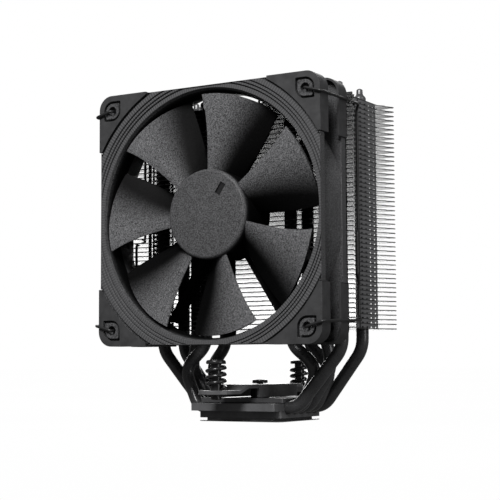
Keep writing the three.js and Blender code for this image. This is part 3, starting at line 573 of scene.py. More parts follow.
PIPE_RADIUS = 3.0
PIPE_AXIS_Z = 6.6
PIPE_PITCH = 6.5
PIPE_STRAIGHT_TOP = 152.6
TIP_STRAIGHT = 0.5              # a pipe's end: a straight length, a taper, and a dome on its neck
TIP_TAPER = 2.4
TIP_DOME = 1.3
TIP_NECK_RADIUS = 1.6
KNEE_SHARE = 0.35               # how much of a leg's way along Y is done at its knee
OUTER, INNER, MIDDLE = "outer", "inner", "middle"
# base position, then the left and the right leg: kind, y and distance from the middle
PIPE_LEGS = [
    (-2, (INNER, -9.0, 25.0), (OUTER, -10.5, 50.0)),
    (-1, (OUTER, -9.0, 50.0), (INNER, -8.4, 22.3)),
    (0, (MIDDLE, 0.0, 36.2), (MIDDLE, 0.0, 36.2)),
    (1, (OUTER, 9.0, 50.0), (INNER, 8.4, 22.3)),
    (2, (INNER, 9.0, 25.0), (OUTER, 10.5, 50.0)),
]
# foot x, foot bend, knee x, knee z, knee bend, shoulder z, shoulder bend
LEG_RISES = {
    OUTER: (27.9, 10.5, 50.0, 33.8, 14, None, None),
    INNER: (26.9, 7, 35.7, 24.8, 10, 36.1, 11),
    MIDDLE: (27.0, 8, 39.2, 25.5, 14, 38.0, 20),
}


def leg_corners(kind, sign, base_y, leg_y, leg_x):
    foot_x, foot_bend, knee_x, knee_z, knee_bend, shoulder_z, shoulder_bend = LEG_RISES[kind]
    foot = (sign * foot_x, base_y, PIPE_AXIS_Z, foot_bend)
    top = (sign * leg_x, leg_y, PIPE_STRAIGHT_TOP, 0)
    if kind == OUTER:
        return [foot, (sign * knee_x, leg_y, knee_z, knee_bend), top]
    knee_y = base_y + (leg_y - base_y) * KNEE_SHARE
    return [
        foot,
        (sign * knee_x, knee_y, knee_z, knee_bend),
        (sign * leg_x, leg_y, shoulder_z, shoulder_bend),
        top,
    ]


def pipe_tip(x, y):
    """The drawn-in end of a pipe: a shoulder, a narrow neck and a small domed seal."""
    profile = [(0, PIPE_STRAIGHT_TOP - 1), (PIPE_RADIUS - 0.02, PIPE_STRAIGHT_TOP - 1)]
    for step in range(9):
        t = step / 8
        blend = t * t * (3 - 2 * t)
        radius = PIPE_RADIUS - (PIPE_RADIUS - TIP_NECK_RADIUS) * blend
        profile.append((radius, PIPE_STRAIGHT_TOP + TIP_STRAIGHT + TIP_TAPER * t))
    for step in range(1, 6):
        turn = math.pi / 2 * step / 5
        profile.append((TIP_NECK_RADIUS * math.cos(turn), TIP_TOP - TIP_DOME + TIP_DOME * math.sin(turn)))
    return turned(profile, 28, "Z", (x, y))


def make_heat_pipes():
    for index, (base, left, right) in enumerate(PIPE_LEGS, 1):
        base_y = base * PIPE_PITCH
        corners = [
            *reversed(leg_corners(left[0], -1, base_y, left[1], left[2])),
            *leg_corners(right[0], 1, base_y, right[1], right[2]),
        ]
        shape = merged(
            swept(bent_route(corners, 10), PIPE_RADIUS, 28, end_steps=1),
            pipe_tip(-left[2], left[1]),
            pipe_tip(right[2], right[1]),
        )
        cad = f"heat_pipe_{index}"
        add_piece(f"pipe_{index}", shape, "heat_sink", PIPE_BLACK, [cad], 50)


# ---------------------------------------------------------------- fin stack

FIN_COUNT = 50
FIN_THICKNESS = 0.5
FIN_PITCH = (FIN_HIGH.z - FIN_LOW.z - FIN_THICKNESS) / (FIN_COUNT - 1)
FIN_SIDE = 58.0
NOTCH_Y = 12.5
FIN_CORNER = 1.0                # the flat length of a fin's side at each of its corners
FIN_SPUR = ((59.9, -17.2), (60.5, -16.2))       # the small step beside the notch
PIPE_HOLE_GAP = 0.08
TAB_THICKNESS = 0.4
TAB_RUNS = ((-11.0, -8.6), (-7.4, 11.0))
TAB_FOOT_GAP = 0.05             # heights above the next fin
TAB_SLOT_TOP = 0.6
TAB_SLOTS = 4
TAB_SLOT_HALF = 0.9
SLOTTED_LENGTH = 5.0            # a shorter tab has no slots
TOOTH_PITCH = 4.0
TOOTH_DEPTH = 1.2
TOOTHED_HALF = 56.0


def toothed_edge(y, depth):
    """Shallow teeth from left to right along the front or the rear edge."""
    count = round(2 * TOOTHED_HALF / TOOTH_PITCH)
    points = []
    for i in range(count + 1):
        x = -TOOTHED_HALF + i * TOOTH_PITCH
        points.append((x, y if i % 2 == 0 else y + depth))
    return points


def fin_outline():
    wide, deep = FIN_HIGH.x, FIN_HIGH.y
    side = [(wide, -deep), (wide, -deep + FIN_CORNER), *FIN_SPUR, (FIN_SIDE, -NOTCH_Y)]
    right = side + [(x, -y) for x, y in reversed(side)]
    left = [(-x, y) for x, y in reversed(right)]
    rear = [(x, y) for x, y in reversed(toothed_edge(deep, -TOOTH_DEPTH))]
    return [*toothed_edge(-deep, TOOTH_DEPTH), *right, *rear, *left]


def tab_outline(start, end):
    """A folded tab seen from the side: it reaches down to the next fin, with small slots along its foot."""
    height = FIN_PITCH - FIN_THICKNESS
    foot, slot_top = TAB_FOOT_GAP - height, TAB_SLOT_TOP - height
    points = [(start, 0.0), (start, foot)]
    if end - start > SLOTTED_LENGTH:
        step = (end - start) / TAB_SLOTS
        for i in range(TAB_SLOTS):
            middle = start + step * (i + 0.5)
            near, far = middle - TAB_SLOT_HALF, middle + TAB_SLOT_HALF
            points += [(near, foot), (near, slot_top), (far, slot_top), (far, foot)]
    return [*points, (end, foot), (end, 0.0)]


def make_fins():
    holes = []
    for _, left, right in PIPE_LEGS:
        for x, y in ((-left[2], left[1]), (right[2], right[1])):
            holes.append(circle(x, y, PIPE_RADIUS + PIPE_HOLE_GAP, 20))
    fin = plate(fin_outline(), holes, 0.0, FIN_THICKNESS)
    fins = [moved(fin, z=FIN_LOW.z + i * FIN_PITCH) for i in range(FIN_COUNT)]
    add_piece("fins", merged(*fins), "heat_sink", FIN_BLACK, ["fin_stack"], 30)
    tabs = []
    for i in range(1, FIN_COUNT):
        for start, end in TAB_RUNS:
            for inner in (FIN_SIDE - TAB_THICKNESS, -FIN_SIDE):
                tab = plate(tab_outline(start, end), [], inner, inner + TAB_THICKNESS, "YZ")
                tabs.append(moved(tab, z=FIN_LOW.z + i * FIN_PITCH))
    add_piece("fin_tabs", merged(*tabs), "heat_sink", TAB_GREY, ["fin_stack"], 30)


# ---------------------------------------------------------------- fan frame

FLAT_HALF = FRAME_HIGH.x
CORNER_HALF = FLAT_HALF - 0.8
CORNER_RADIUS = 5.7
PAD_HALF = 60.0
PAD_START = 33.0
PAD_CORNER_RADIUS = 7.0
PAD_INNER_RADIUS = 67.3
PAD_PROUD = 0.5
PAD_GAP = 0.02                  # between a pad's slab and the frame's face
PAD_GROOVE_INSIDE = 0.85        # the groove along a pad's round edge, each way from that edge
PAD_GROOVE_OUTSIDE = 0.6
PAD_GROOVE_DEPTH = 1.3
SKIRT_DEPTH = 8.0
SKIRT_THICKNESS = 1.0
FLAT_END = PAD_START - 0.3      # where a flat side steps in to its corners, under the end of a pad
EDGE_INSET = 0.25
EDGE_CHAMFER = 0.3
FLANGE = 4.4
FLANGE_EDGE = 0.1
FRAME_STEPS = 480
DUCT_INNER = 56.6
DUCT_WALL = 1.6
DUCT_REAR = 60.5                # the duct widens behind the impeller, as far as its square sides allow
DUCT_REAR_HALF = 58.1
DUCT_FLARE_Y = FAN_FRONT + 10.5
MOUTH = 58.3
# the raised bands of the inlet ring: inner and outer radius, and how far each lies behind the front face
BANDS = ((58.3, 60.3, 0.95), (60.85, 61.8, 0.65), (62.35, 63.45, 0.35), (64.0, 66.3, 0.05))
# points on the mouth's lip, inwards and back from it, then points outwards and back from a band's two edges
MOUTH_LIP = ((0.7, 2.6), (0.15, 1.4))
BAND_INNER_EDGE = ((0, 0.12), (0.12, 0))
BAND_OUTER_EDGE = ((-0.08, 0), (0, 0.1), (0.03, 0.75), (0.27, 0.75))
RIBBED_END = PAD_INNER_RADIUS - 0.9
RIBBED_DEPTH = 1.2
HOLE_OFFSET = 52.5
HOLE_RADIUS = 2.2
BOSS_RADIUS = 3.7
BOSS_WINDOW = 1.1
BOSS_WELL = 2.2
BOSS_CHAMFER = 0.4
CABLE_EXIT_LOW, CABLE_EXIT_HIGH = FAN_Z - 30, FAN_Z - 24
CABLE_EXIT_DEPTH = 1.6


def outline_radius(angle):
    """How far the frame's square outline is from the fan's axis in one direction."""
    c, s = abs(math.cos(angle)), abs(math.sin(angle))
    near, far = max(c, s), min(c, s)
    if FLAT_HALF * far / near < FLAT_END:
        return FLAT_HALF / near
    if CORNER_HALF * far / near < CORNER_HALF - CORNER_RADIUS:
        return CORNER_HALF / near
    centre = CORNER_HALF - CORNER_RADIUS
    along = centre * (near + far)
    return along + math.sqrt(along * along - 2 * centre * centre + CORNER_RADIUS ** 2)


def inlet_steps():
    """The stepped ring round the inlet, from the duct outwards: raised bands between narrow grooves."""
    points = [(DUCT_INNER, FAN_FRONT + 6)]
    points += [(MOUTH - inwards, FAN_FRONT + back) for inwards, back in MOUTH_LIP]
    for inner, outer, behind in BANDS:
        face = FAN_FRONT + behind
        points += [(inner + outwards, face + back) for outwards, back in BAND_INNER_EDGE]
        points += [(outer + outwards, face + back) for outwards, back in BAND_OUTER_EDGE]
    return points


def clipped(points, limit):
    """Ends a profile that runs outwards at the given radius and repeats that last point."""
    kept = []
    for radius, y in points:
        if radius > limit:
            before_radius, before_y = kept[-1]
            if before_radius < limit:
                share = (limit - before_radius) / (radius - before_radius)
                kept.append((limit, before_y + (y - before_y) * share))
            break
        kept.append((radius, y))
    return kept + [kept[-1]] * (len(points) - len(kept))


def frame_section(angle):
    """The frame's cross-section in one direction: the inlet, the outside, the rear face and the duct."""
    edge = outline_radius(angle)
    near = max(abs(math.cos(angle)), abs(math.sin(angle)))
    wall = min(DUCT_INNER + DUCT_WALL, edge - EDGE_CHAMFER)
    rear_wall = min(DUCT_REAR + 0.4, edge - EDGE_CHAMFER)
    rear_inner = min(DUCT_REAR, DUCT_REAR_HALF / near)
    flare = min(DUCT_INNER + (rear_inner - DUCT_INNER) * 0.7, rear_wall - 0.5)
    rim = edge - EDGE_INSET
    steps = clipped(inlet_steps(), rim)
    cornered = edge > PAD_INNER_RADIUS
    face = FAN_FRONT if cornered else steps[-1][1]
    groove = FAN_FRONT + PAD_GROOVE_DEPTH if cornered else steps[-1][1]
    front_flange, rear_flange = FAN_FRONT + FLANGE, FAN_REAR - FLANGE
    return [
        *steps,
        (min(PAD_INNER_RADIUS - PAD_GROOVE_INSIDE, rim), groove),
        (min(PAD_INNER_RADIUS + PAD_GROOVE_OUTSIDE, rim), groove),
        (min(PAD_INNER_RADIUS + PAD_GROOVE_OUTSIDE + 0.02, rim), face),
        (rim, face),
        (edge, FAN_FRONT + EDGE_CHAMFER),
        (edge, front_flange - 2 * FLANGE_EDGE),
        (edge - FLANGE_EDGE, front_flange),
        (wall, front_flange + FLANGE_EDGE),
        (wall, DUCT_FLARE_Y + 1),
        (rear_wall, rear_flange - FLANGE_EDGE),
        (edge - FLANGE_EDGE, rear_flange),
        (edge, rear_flange + 2 * FLANGE_EDGE),
        (edge, FAN_REAR - EDGE_CHAMFER),
        (edge - EDGE_CHAMFER, FAN_REAR),
        (rear_inner + 0.05, FAN_REAR),
        (rear_inner, FAN_REAR - 0.1),
        (flare, rear_flange),
        (DUCT_INNER, DUCT_FLARE_Y),
    ]


def frame_angles():
    """Even steps round the frame, with extra ones where the flats meet the corners."""
    step_at = math.degrees(math.atan(FLAT_END / FLAT_HALF))
    extra = []
    for quarter in range(4):
        for base in (step_at, 90 - step_at):
            extra += [quarter * 90 + base - 0.02, quarter * 90 + base + 0.02]
    return sorted([360 * i / FRAME_STEPS for i in range(FRAME_STEPS)] + extra)


def frame_body():
    """The whole frame, as one cross-section after another round the fan's axis."""
    angles = frame_angles()
    vertices = []
    for degrees in angles:
        angle = math.radians(degrees)
        section = frame_section(angle)
        for radius, y in section:
            vertices.append((radius * math.cos(angle), y, FAN_Z + radius * math.sin(angle)))
    return vertices, loft_faces(len(angles), len(section), closed=True)


def boss_outline(radius):
    """Round the hole of the upper right corner: round on the diagonal, square on the other two sides."""
    x, z = HOLE_OFFSET, FAN_Z + HOLE_OFFSET
    inner = radius - BOSS_CHAMFER
    return [
        (x + inner, z - radius), (x + radius, z - inner), *arc(x, z, radius, 0, 90, 14),
        (x - inner, z + radius), (x - radius, z + inner), *arc(x, z, radius, 180, 270, 14),
    ]


def four_corners(shape):
    return [mirrored(shape, sx, sz) for sx in (1, -1) for sz in (1, -1)]


MOUNT_REAR = FAN_REAR - 0.5
MOUNT_RADIUS = 20.3
MOUNT_RIM_INNER = 18.6
MOUNT_BORE = 6.1
MOUNT_FLOOR = 1.6
MOUNT_DEPTH = 4.6
MOUNT_CHAMFER = 0.5


def motor_mount():
    """The shallow cup behind the hub, with a hole for the bearing in its floor."""
    floor, rim = MOUNT_REAR - MOUNT_FLOOR, MOUNT_REAR - MOUNT_DEPTH
    return turned([
        (MOUNT_BORE, floor), (MOUNT_BORE, MOUNT_REAR), (MOUNT_RADIUS - MOUNT_CHAMFER, MOUNT_REAR),
        (MOUNT_RADIUS, MOUNT_REAR - MOUNT_CHAMFER), (MOUNT_RADIUS, rim), (MOUNT_RIM_INNER, rim),
        (MOUNT_RIM_INNER, floor),
    ], 72, "Y", (0, FAN_Z))


VANE_COUNT = 11
FIRST_VANE = math.radians(8.4)
VANE_REAR = FAN_REAR - 0.6
VANE_DEPTH = 5.0
VANE_START = 19.5
VANE_END = DUCT_INNER + 1.2
VANE_LEAN = 2.4                 # how far the front edge lies to one side, and the rear edge to the other
VANE_HOOK = 0.9
VANE_EDGE = 0.25                # half the thickness at the edges, and what is added to it between them
VANE_SWELL = 0.35


def guide_vane(index):
    """A thin blade from the motor mount to the duct, leaning against the turn of the impeller."""
    rows, across = 14, 8
    vertices = []
    for i in range(rows + 1):
        radius = VANE_START + (VANE_END - VANE_START) * (i / rows)
        ring = []
        for j in range(across + 1):
            t = j / across
            y = VANE_REAR - VANE_DEPTH * (1 - t)
            side = -VANE_LEAN * (1 - t) ** 1.5 + VANE_HOOK * t
            thick = VANE_EDGE + VANE_SWELL * math.sin(math.pi * (0.08 + 0.84 * t))
            ring.append((side, y, thick))
        loop = [(s + w, y) for s, y, w in ring] + [(s - w, y) for s, y, w in reversed(ring)]
        for side, y in loop:
            angle = FIRST_VANE + 2 * math.pi * index / VANE_COUNT + side / radius
            vertices.append((radius * math.cos(angle), y, FAN_Z + radius * math.sin(angle)))
    return vertices, loft_faces(rows + 1, 2 * (across + 1), ends=True)


def paint_inlet_ring(piece):
    """Gives the inlet's raised bands their ribs with their painted shade and highlight, and the inside of
    the duct the plastic with painted shade that darkens with depth.
    """
    piece.data.materials.append(RIBBED)
    # the duct's inside: plastic with painted shade, darker with depth
    piece.data.materials.append(DUCT_PLASTIC_PAINTED_SHADE)
    for face in piece.data.polygons:
        x, y, z = face.center / MM
        radius = math.hypot(x, z - FAN_Z)
        if MOUTH < radius < RIBBED_END and y < FAN_FRONT + RIBBED_DEPTH:
            face.material_index = 1
        elif radius < DUCT_INNER + 1 and y < FAN_REAR - 0.5:
            face.material_index = 2


def make_fan_frame():
    piece = add_piece("frame", frame_body(), "heat_sink", PLASTIC, ["fan_frame"], 24)
    hole = turned([
        (0, FAN_FRONT - 3), (HOLE_RADIUS, FAN_FRONT - 3), (HOLE_RADIUS, FAN_REAR + 3), (0, FAN_REAR + 3),
    ], 32, "Y", (HOLE_OFFSET, FAN_Z + HOLE_OFFSET))
    cable_exit = box(
        (-FLAT_HALF - 1, FAN_REAR - FLANGE - 1, CABLE_EXIT_LOW),
        (-FLAT_HALF + CABLE_EXIT_DEPTH, FAN_REAR + 1, CABLE_EXIT_HIGH),
    )
    wells = []
    window = boss_outline(BOSS_RADIUS + BOSS_WINDOW)
    for low, high in ((FAN_FRONT - 1, FAN_FRONT + BOSS_WELL), (FAN_REAR - BOSS_WELL, FAN_REAR + 1)):
        wells += four_corners(plate(window, [], low, high, "XZ"))
    carved(piece, *four_corners(hole), *wells, cable_exit, sharp_degrees=24)
    paint_inlet_ring(piece)


def make_corner_bosses():
    """The ends of the corner tubes, which stand a little out of the wells in the frame's two faces."""
    opening = circle(HOLE_OFFSET, FAN_Z + HOLE_OFFSET, HOLE_RADIUS + 0.05, 30)
    out, into = 0.3, BOSS_WELL + 0.1
    bosses = []
    for low, high in ((FAN_FRONT - out, FAN_FRONT + into), (FAN_REAR - into, FAN_REAR + out)):
        bosses += four_corners(plate(boss_outline(BOSS_RADIUS), [opening], low, high, "XZ"))
    piece = add_piece("corner_bosses", merged(*bosses), "heat_sink", PLASTIC, ["fan_frame"])
    bevelled(piece, 0.12)


def make_motor_mount():
    shape = merged(motor_mount(), *(guide_vane(i) for i in range(VANE_COUNT)))
    # the mount and its vanes lie deep in the duct and take its painted shade: nearly black
    add_piece("motor_mount", shape, "heat_sink", DUCT_PLASTIC_PAINTED_SHADE, ["fan_frame"])


def at_fan(outline):
    """Lifts an outline drawn about the origin to the fan's axis."""
    return [(x, FAN_Z + z) for x, z in outline]


def pad_shape(face_y, inwards):
    """The upper right rubber corner: a slab with a window for the boss, and a skirt down the side."""
    outer = face_y - inwards * PAD_PROUD
    slab_inner = outer + inwards * (PAD_PROUD - PAD_GAP)
    skirt_end = outer + inwards * SKIRT_DEPTH
    reach = math.sqrt(PAD_INNER_RADIUS ** 2 - PAD_START ** 2)
    start = math.degrees(math.atan2(PAD_START, reach))
    centre = PAD_HALF - PAD_CORNER_RADIUS
    outside = [
        (PAD_HALF, PAD_START),
        *arc(centre, centre, PAD_CORNER_RADIUS, 0, 90, 14),
        (PAD_START, PAD_HALF),
    ]
    band_inside = [
        (PAD_START, PAD_HALF - SKIRT_THICKNESS),
        *arc(centre, centre, PAD_CORNER_RADIUS - SKIRT_THICKNESS, 90, 0, 14),
        (PAD_HALF - SKIRT_THICKNESS, PAD_START),
    ]
    slab_outline = at_fan([*outside, *arc(0, 0, PAD_INNER_RADIUS, 90 - start, start, 16)])
    window = boss_outline(BOSS_RADIUS + BOSS_WINDOW)
    slab = plate(slab_outline, [window], *sorted((outer, slab_inner)), "XZ")
    skirt = plate(at_fan([*outside, *band_inside]), [], *sorted((slab_inner, skirt_end)), "XZ")
    return merged(slab, skirt)


CORNER_NAMES = {(1, 1): "top_right", (-1, 1): "top_left", (-1, -1): "bottom_left", (1, -1): "bottom_right"}


def make_pads():
    for face, face_y, inwards in (("front", FAN_FRONT, 1), ("rear", FAN_REAR, -1)):
        shape = pad_shape(face_y, inwards)
        for (sx, sz), corner in CORNER_NAMES.items():
            piece = add_piece(
                f"{face}_rubber_{corner}", mirrored(shape, sx, sz), "heat_sink", RUBBER,
                [f"{face}_pad_{corner}"],
            )
            bevelled(piece, 0.18)


# ---------------------------------------------------------------- impeller

HUB_RADIUS = 20.75
HUB_OPEN_Y = -29.8
HUB_WALL = 1.35
HUB_EDGE = 1.5                  # the radius of its rounded front edge
HUB_FACE_THICKNESS = 1.7
HUB_SHADED_FROM = 2.0           # its side and its inside, from this depth on, take the duct's painted shade and darken
MARK_START, MARK_END = 10.6, 16.4       # the plain recess in its face, as distances from the axis
MARK_HALF_WIDTH = 1.5
MARK_DEPTH = 0.7
MARK_ANGLE = math.radians(56)
BLADE_COUNT = 7
BLADE_ROOT = HUB_RADIUS - 0.6
BLADE_TIP = 55.6
BLADE_EDGE = 0.12               # half the thickness at the edges, and what is added to it between them
BLADE_SWELL = 0.75
BLADE_CAMBER = 1.7              # above 1, a blade is flatter at its leading edge
# each edge of a blade: angle at the root and the tip, bow between them, depth at the root and the tip
BLADE_LEAD = (91.1, 92.5, -7.0, FAN_FRONT + 3.1, FAN_FRONT + 1.4)
BLADE_TRAIL = (52.4, 52.6, -4.3, FAN_FRONT + 13.8, FAN_FRONT + 8.6)


def hub_shape():
    """An open cup with its closed face to the front."""
    inner, back = HUB_RADIUS - HUB_WALL, HUB_FACE + HUB_FACE_THICKNESS
    rim = [
        (HUB_RADIUS - HUB_EDGE + HUB_EDGE * math.sin(turn), HUB_FACE + HUB_EDGE - HUB_EDGE * math.cos(turn))
        for turn in (math.pi / 2 * i / 8 for i in range(8, -1, -1))
    ]
    return turned([
        (0, back), (inner, back), (inner, HUB_OPEN_Y), (HUB_RADIUS, HUB_OPEN_Y), *rim, (0, HUB_FACE),
    ], 120, "Y", (0, FAN_Z))


def blade_edge(edge, outwards):
    """The angle and the depth of a blade's edge at a share of its length."""
    root, tip, bow, root_y, tip_y = edge
    angle = root + (tip - root) * outwards + bow * outwards * (1 - outwards)
    return math.radians(angle), root_y + (tip_y - root_y) * outwards


def blade_half_thickness(share):
    """Greatest near the middle of a blade, and least at its two edges."""
    along = min(0.04 + 0.9 * share ** 0.8, 1)
    return BLADE_EDGE + BLADE_SWELL * math.sin(math.pi * along) ** 0.6


def blade_shape(index):
    """A curved blade. Its leading edge is the one nearest the front."""
    rows, across = 22, 24
    vertices = []
    for i in range(rows + 1):
        outwards = i / rows
        radius = BLADE_ROOT + (BLADE_TIP - BLADE_ROOT) * outwards
        lead, lead_y = blade_edge(BLADE_LEAD, outwards)
        trail, trail_y = blade_edge(BLADE_TRAIL, outwards)
        loop = []
        for j in range(across + 1):
            share = j / across
            y = lead_y + share ** BLADE_CAMBER * (trail_y - lead_y)
            loop.append((lead + share * (trail - lead), y, blade_half_thickness(share)))
        ring = [(a, y - w) for a, y, w in loop] + [(a, y + w) for a, y, w in reversed(loop)]
        for angle, y in ring:
            turn = angle + 2 * math.pi * index / BLADE_COUNT
            vertices.append((radius * math.cos(turn), y, FAN_Z + radius * math.sin(turn)))
    return vertices, loft_faces(rows + 1, 2 * (across + 1), ends=True)


def hub_mark():
    """The block that is cut out of the hub's face, turned to its place round the axis."""
    vertices, faces = box(
        (MARK_START, HUB_FACE - 1, -MARK_HALF_WIDTH),
        (MARK_END, HUB_FACE + MARK_DEPTH, MARK_HALF_WIDTH),
    )
    c, s = math.cos(MARK_ANGLE), math.sin(MARK_ANGLE)
    return [(x * c - z * s, y, FAN_Z + x * s + z * c) for x, y, z in vertices], faces


def make_impeller():
    hub = add_piece("hub", hub_shape(), "rotor", PLASTIC, ["impeller"], 40)
    carved(hub, hub_mark(), sharp_degrees=40)
    # the mark's recess is painted nearly black: painted shade
    hub.data.materials.append(MARK_RECESS_PAINTED_SHADE)
    # the hub's side and inside get the duct's painted shade, darker with depth
    hub.data.materials.append(DUCT_PLASTIC_PAINTED_SHADE)
    for face in hub.data.polygons:
        x, y, z = face.center / MM
        in_flat = math.hypot(x, z - FAN_Z) < HUB_RADIUS - HUB_EDGE - 0.1
        if in_flat and 0.01 < y - HUB_FACE < MARK_DEPTH + 0.6:
            face.material_index = 1
        elif y > HUB_FACE + HUB_SHADED_FROM:
            face.material_index = 2
    blades = [blade_shape(i) for i in range(BLADE_COUNT)]
    # painted shade: each blade darkens with depth, from its leading edge to its trailing edge
    add_piece("blades", merged(*blades), "rotor", BLADE_PLASTIC_PAINTED_SHADE, ["impeller"], 50)


# ---------------------------------------------------------------- screws, springs and clips

SPRING_MEAN_RADIUS = 4.2
SPRING_WIRE = 0.8
SPRING_TURNS = 3.25
SPRING_STEPS = 36               # for each turn
SCREW_HEAD_RADIUS = 4.7
SCREW_HEAD_HEIGHT = 2.0
# points up the side of the head: how far inside its radius, and how high above its underside
SCREW_HEAD_SIDE = ((0.5, 0), (0.1, 0.3), (0, 0.9), (0.2, 1.5), (0.9, 1.9))
SCREW_SHAFT_RADIUS = 2.5
RING_GROOVE_DEPTH = 0.6
RING_GROOVE_HALF = 0.5
BAR_SCREW_SHAFT_RADIUS = 1.5
BAR_SCREW_HEAD_HEIGHT = 1.9
# points up the side of the bar's screw: radius, and height above the underside of its head
BAR_SCREW_HEAD_SIDE = ((3.5, 0), (3.8, 0.35), (3.8, 1.15), (3.55, 1.6), (2.9, 1.88))


def cross_slot(y, reach, half_width, low, high):
    """The cross-shaped recess in a screw's head."""
    quarter = [(-reach, -half_width), (-half_width, -half_width), (-half_width, -reach)]
    outline = []
    for _ in range(4):
        outline += quarter
        quarter = [(-b, a) for a, b in quarter]
    return plate([(a, y + b) for a, b in outline], [], low, high)


def make_spring(end, y):
    low, high = node_box(f"screw_spring_{end}")
    steps = round(SPRING_TURNS * SPRING_STEPS)
    bottom, top = low.z + SPRING_WIRE, high.z - SPRING_WIRE
    path = []
    for i in range(steps + 1):
        angle = 2 * math.pi * SPRING_TURNS * i / steps
        path.append((
            SPRING_MEAN_RADIUS * math.cos(angle),
            y + SPRING_MEAN_RADIUS * math.sin(angle),
            bottom + (top - bottom) * i / steps,
        ))
    spring = add_piece(
        f"spring_{end}", swept(path, SPRING_WIRE, 14), "heat_sink", GLOSS_BLACK,
        [f"screw_spring_{end}"], 60,
    )
    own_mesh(spring)


def make_spring_screw(end, y):
    low, high = node_box(f"spring_screw_{end}")
    ring_low, ring_high = node_box(f"retaining_ring_{end}")
    ring_z = (ring_low.z + ring_high.z) / 2
    groove_low, groove_high = ring_z - RING_GROOVE_HALF, ring_z + RING_GROOVE_HALF
    head = high.z - SCREW_HEAD_HEIGHT
    shaft, neck = SCREW_SHAFT_RADIUS, SCREW_SHAFT_RADIUS - RING_GROOVE_DEPTH
    profile = [
        (0, low.z), (shaft - 0.5, low.z), (shaft, low.z + 0.5), (shaft, groove_low), (neck, groove_low),
        (neck, groove_high), (shaft, groove_high), (shaft, head),
        *((SCREW_HEAD_RADIUS - inwards, head + up) for inwards, up in SCREW_HEAD_SIDE),
        (0, head + SCREW_HEAD_HEIGHT),
    ]
    screw = add_piece(
        f"screw_{end}", turned(profile, 48, "Z", (0, y)), f"{end}_screw", GLOSS_BLACK,
        [f"spring_screw_{end}"],
    )
    carved(screw, cross_slot(y, 2.6, 0.5, high.z - 1.1, high.z + 1))


def make_bar_screw():
    low, high = node_box("bar_screw")
    head = high.z - BAR_SCREW_HEAD_HEIGHT
    profile = [
        (0, low.z), (BAR_SCREW_SHAFT_RADIUS, low.z), (BAR_SCREW_SHAFT_RADIUS, head),
        *((radius, head + up) for radius, up in BAR_SCREW_HEAD_SIDE),
        (0, high.z),
    ]
    screw = add_piece(
        "bar_screw_head", turned(profile, 48, "Z"), "heat_sink", GLOSS_BLACK, ["bar_screw"],
    )
    carved(screw, cross_slot(0, 2.1, 0.45, high.z - 1, high.z + 1))


CLIP_WIRE = 0.65
CLIP_DROP = 2.4
CLIP_SIDE = 61.2
CLIP_NOTCH_X = 59.4
CLIP_NOTCH_Y = -11.9
CLIP_STEP_X = 61.3
CLIP_STEP_Y = -16.6
CLIP_STEP_TOP = 87.0
CLIP_STEP_BOTTOM = 65.0
CLIP_PAD_GAP = 0.26
CLIP_FRONT_Y = FAN_FRONT - PAD_PROUD - CLIP_PAD_GAP - CLIP_WIRE
CLIP_END_Y = FAN_FRONT + 2.2
CLIP_TURN_Y = CLIP_NOTCH_Y - 1.6        # where the wire beside the frame turns into the notch


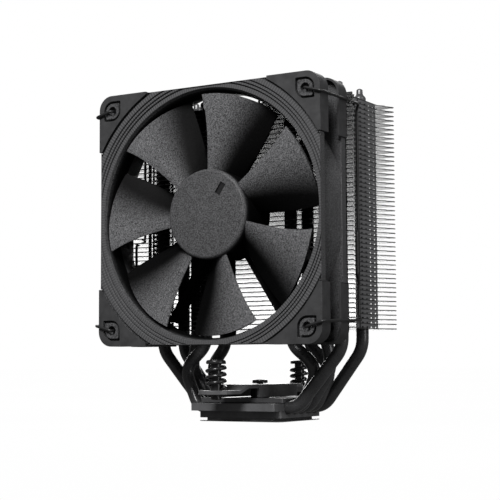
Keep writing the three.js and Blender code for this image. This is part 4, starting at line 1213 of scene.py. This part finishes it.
def clip_route(side):
    """From the upper corner hole, back beside the frame, down the notch of the fins, and forward again."""
    top, bottom = FAN_Z + HOLE_OFFSET, FAN_Z - HOLE_OFFSET
    top_side, bottom_side = top - CLIP_DROP, bottom + CLIP_DROP
    route = [
        (HOLE_OFFSET, CLIP_END_Y, top, 0),
        (HOLE_OFFSET, CLIP_FRONT_Y, top, 1.4),
        (CLIP_SIDE, CLIP_FRONT_Y, top_side, 1.4),
        (CLIP_SIDE, CLIP_TURN_Y, top_side, 2),
        (CLIP_NOTCH_X, CLIP_NOTCH_Y, top_side - 2.5, 1.5),
        (CLIP_NOTCH_X, CLIP_NOTCH_Y, CLIP_STEP_TOP + 1, 1.2),
        (CLIP_STEP_X, CLIP_STEP_Y, CLIP_STEP_TOP - 1, 1.2),
        (CLIP_STEP_X, CLIP_STEP_Y, CLIP_STEP_BOTTOM + 2, 1.5),
        (CLIP_NOTCH_X, CLIP_NOTCH_Y, CLIP_STEP_BOTTOM - 2, 1.5),
        (CLIP_NOTCH_X, CLIP_NOTCH_Y, bottom_side + 3.5, 1.5),
        (CLIP_SIDE, CLIP_TURN_Y, bottom_side + 1, 2),
        (CLIP_SIDE, CLIP_FRONT_Y, bottom_side, 1.4),
        (HOLE_OFFSET, CLIP_FRONT_Y, bottom, 1.4),
        (HOLE_OFFSET, CLIP_END_Y, bottom, 0),
    ]
    return bent_route([(side * x, y, z, bend) for x, y, z, bend in route], 8)


def make_clips():
    for side, name in ((-1, "left"), (1, "right")):
        add_piece(
            f"clip_wire_{name}", swept(clip_route(side), CLIP_WIRE, 14), f"{name}_clip", WIRE_BLACK,
            [f"fan_clip_{name}"], 60,
        )


# ---------------------------------------------------------------- CAD pieces that stay

KEPT_FINISHES = {
    "base_block": (BASE_BLACK, 0.25),
    "top_plate": (BASE_BLACK, 0.25),
    "mounting_bar": (BASE_BLACK, 0.3),
    "retaining_ring_front": (GLOSS_BLACK, 0.06),
    "retaining_ring_rear": (GLOSS_BLACK, 0.06),
    "rotor_yoke": (STEEL, 0.1),
    "rotor_shaft": (STEEL, 0.1),
    "shaft_retainer": (STEEL, 0.05),
    "stator_core": (STEEL, 0.1),
    "rotor_magnet": (FERRITE, 0.1),
    "stator_windings": (COPPER, 0.25),
    "bearing_housing": (BRASS, 0.1),
    "bearing_sleeve": (BRASS, 0.1),
    "motor_board": (BOARD, 0.06),
    "bearing_cap": (PLASTIC, 0.15),
}


def finish_kept_nodes():
    """Gives each CAD piece that is shown as it is a real finish, welded corners and softened edges."""
    for name, (material, edge) in KEPT_FINISHES.items():
        piece = frame["nodes"][name]
        piece.data.materials.clear()
        piece.data.materials.append(material)
        weld = piece.modifiers.new("weld", "WELD")
        weld.merge_threshold = 1e-6
        bevelled(piece, edge, degrees=32)


make_camera()
make_studio()
make_heat_pipes()
make_fins()
make_fan_frame()
make_corner_bosses()
make_motor_mount()
make_pads()
make_impeller()
for end, y in (("front", -SCREW_Y), ("rear", SCREW_Y)):
    make_spring(end, y)
    make_spring_screw(end, y)
make_bar_screw()
make_clips()
finish_kept_nodes()
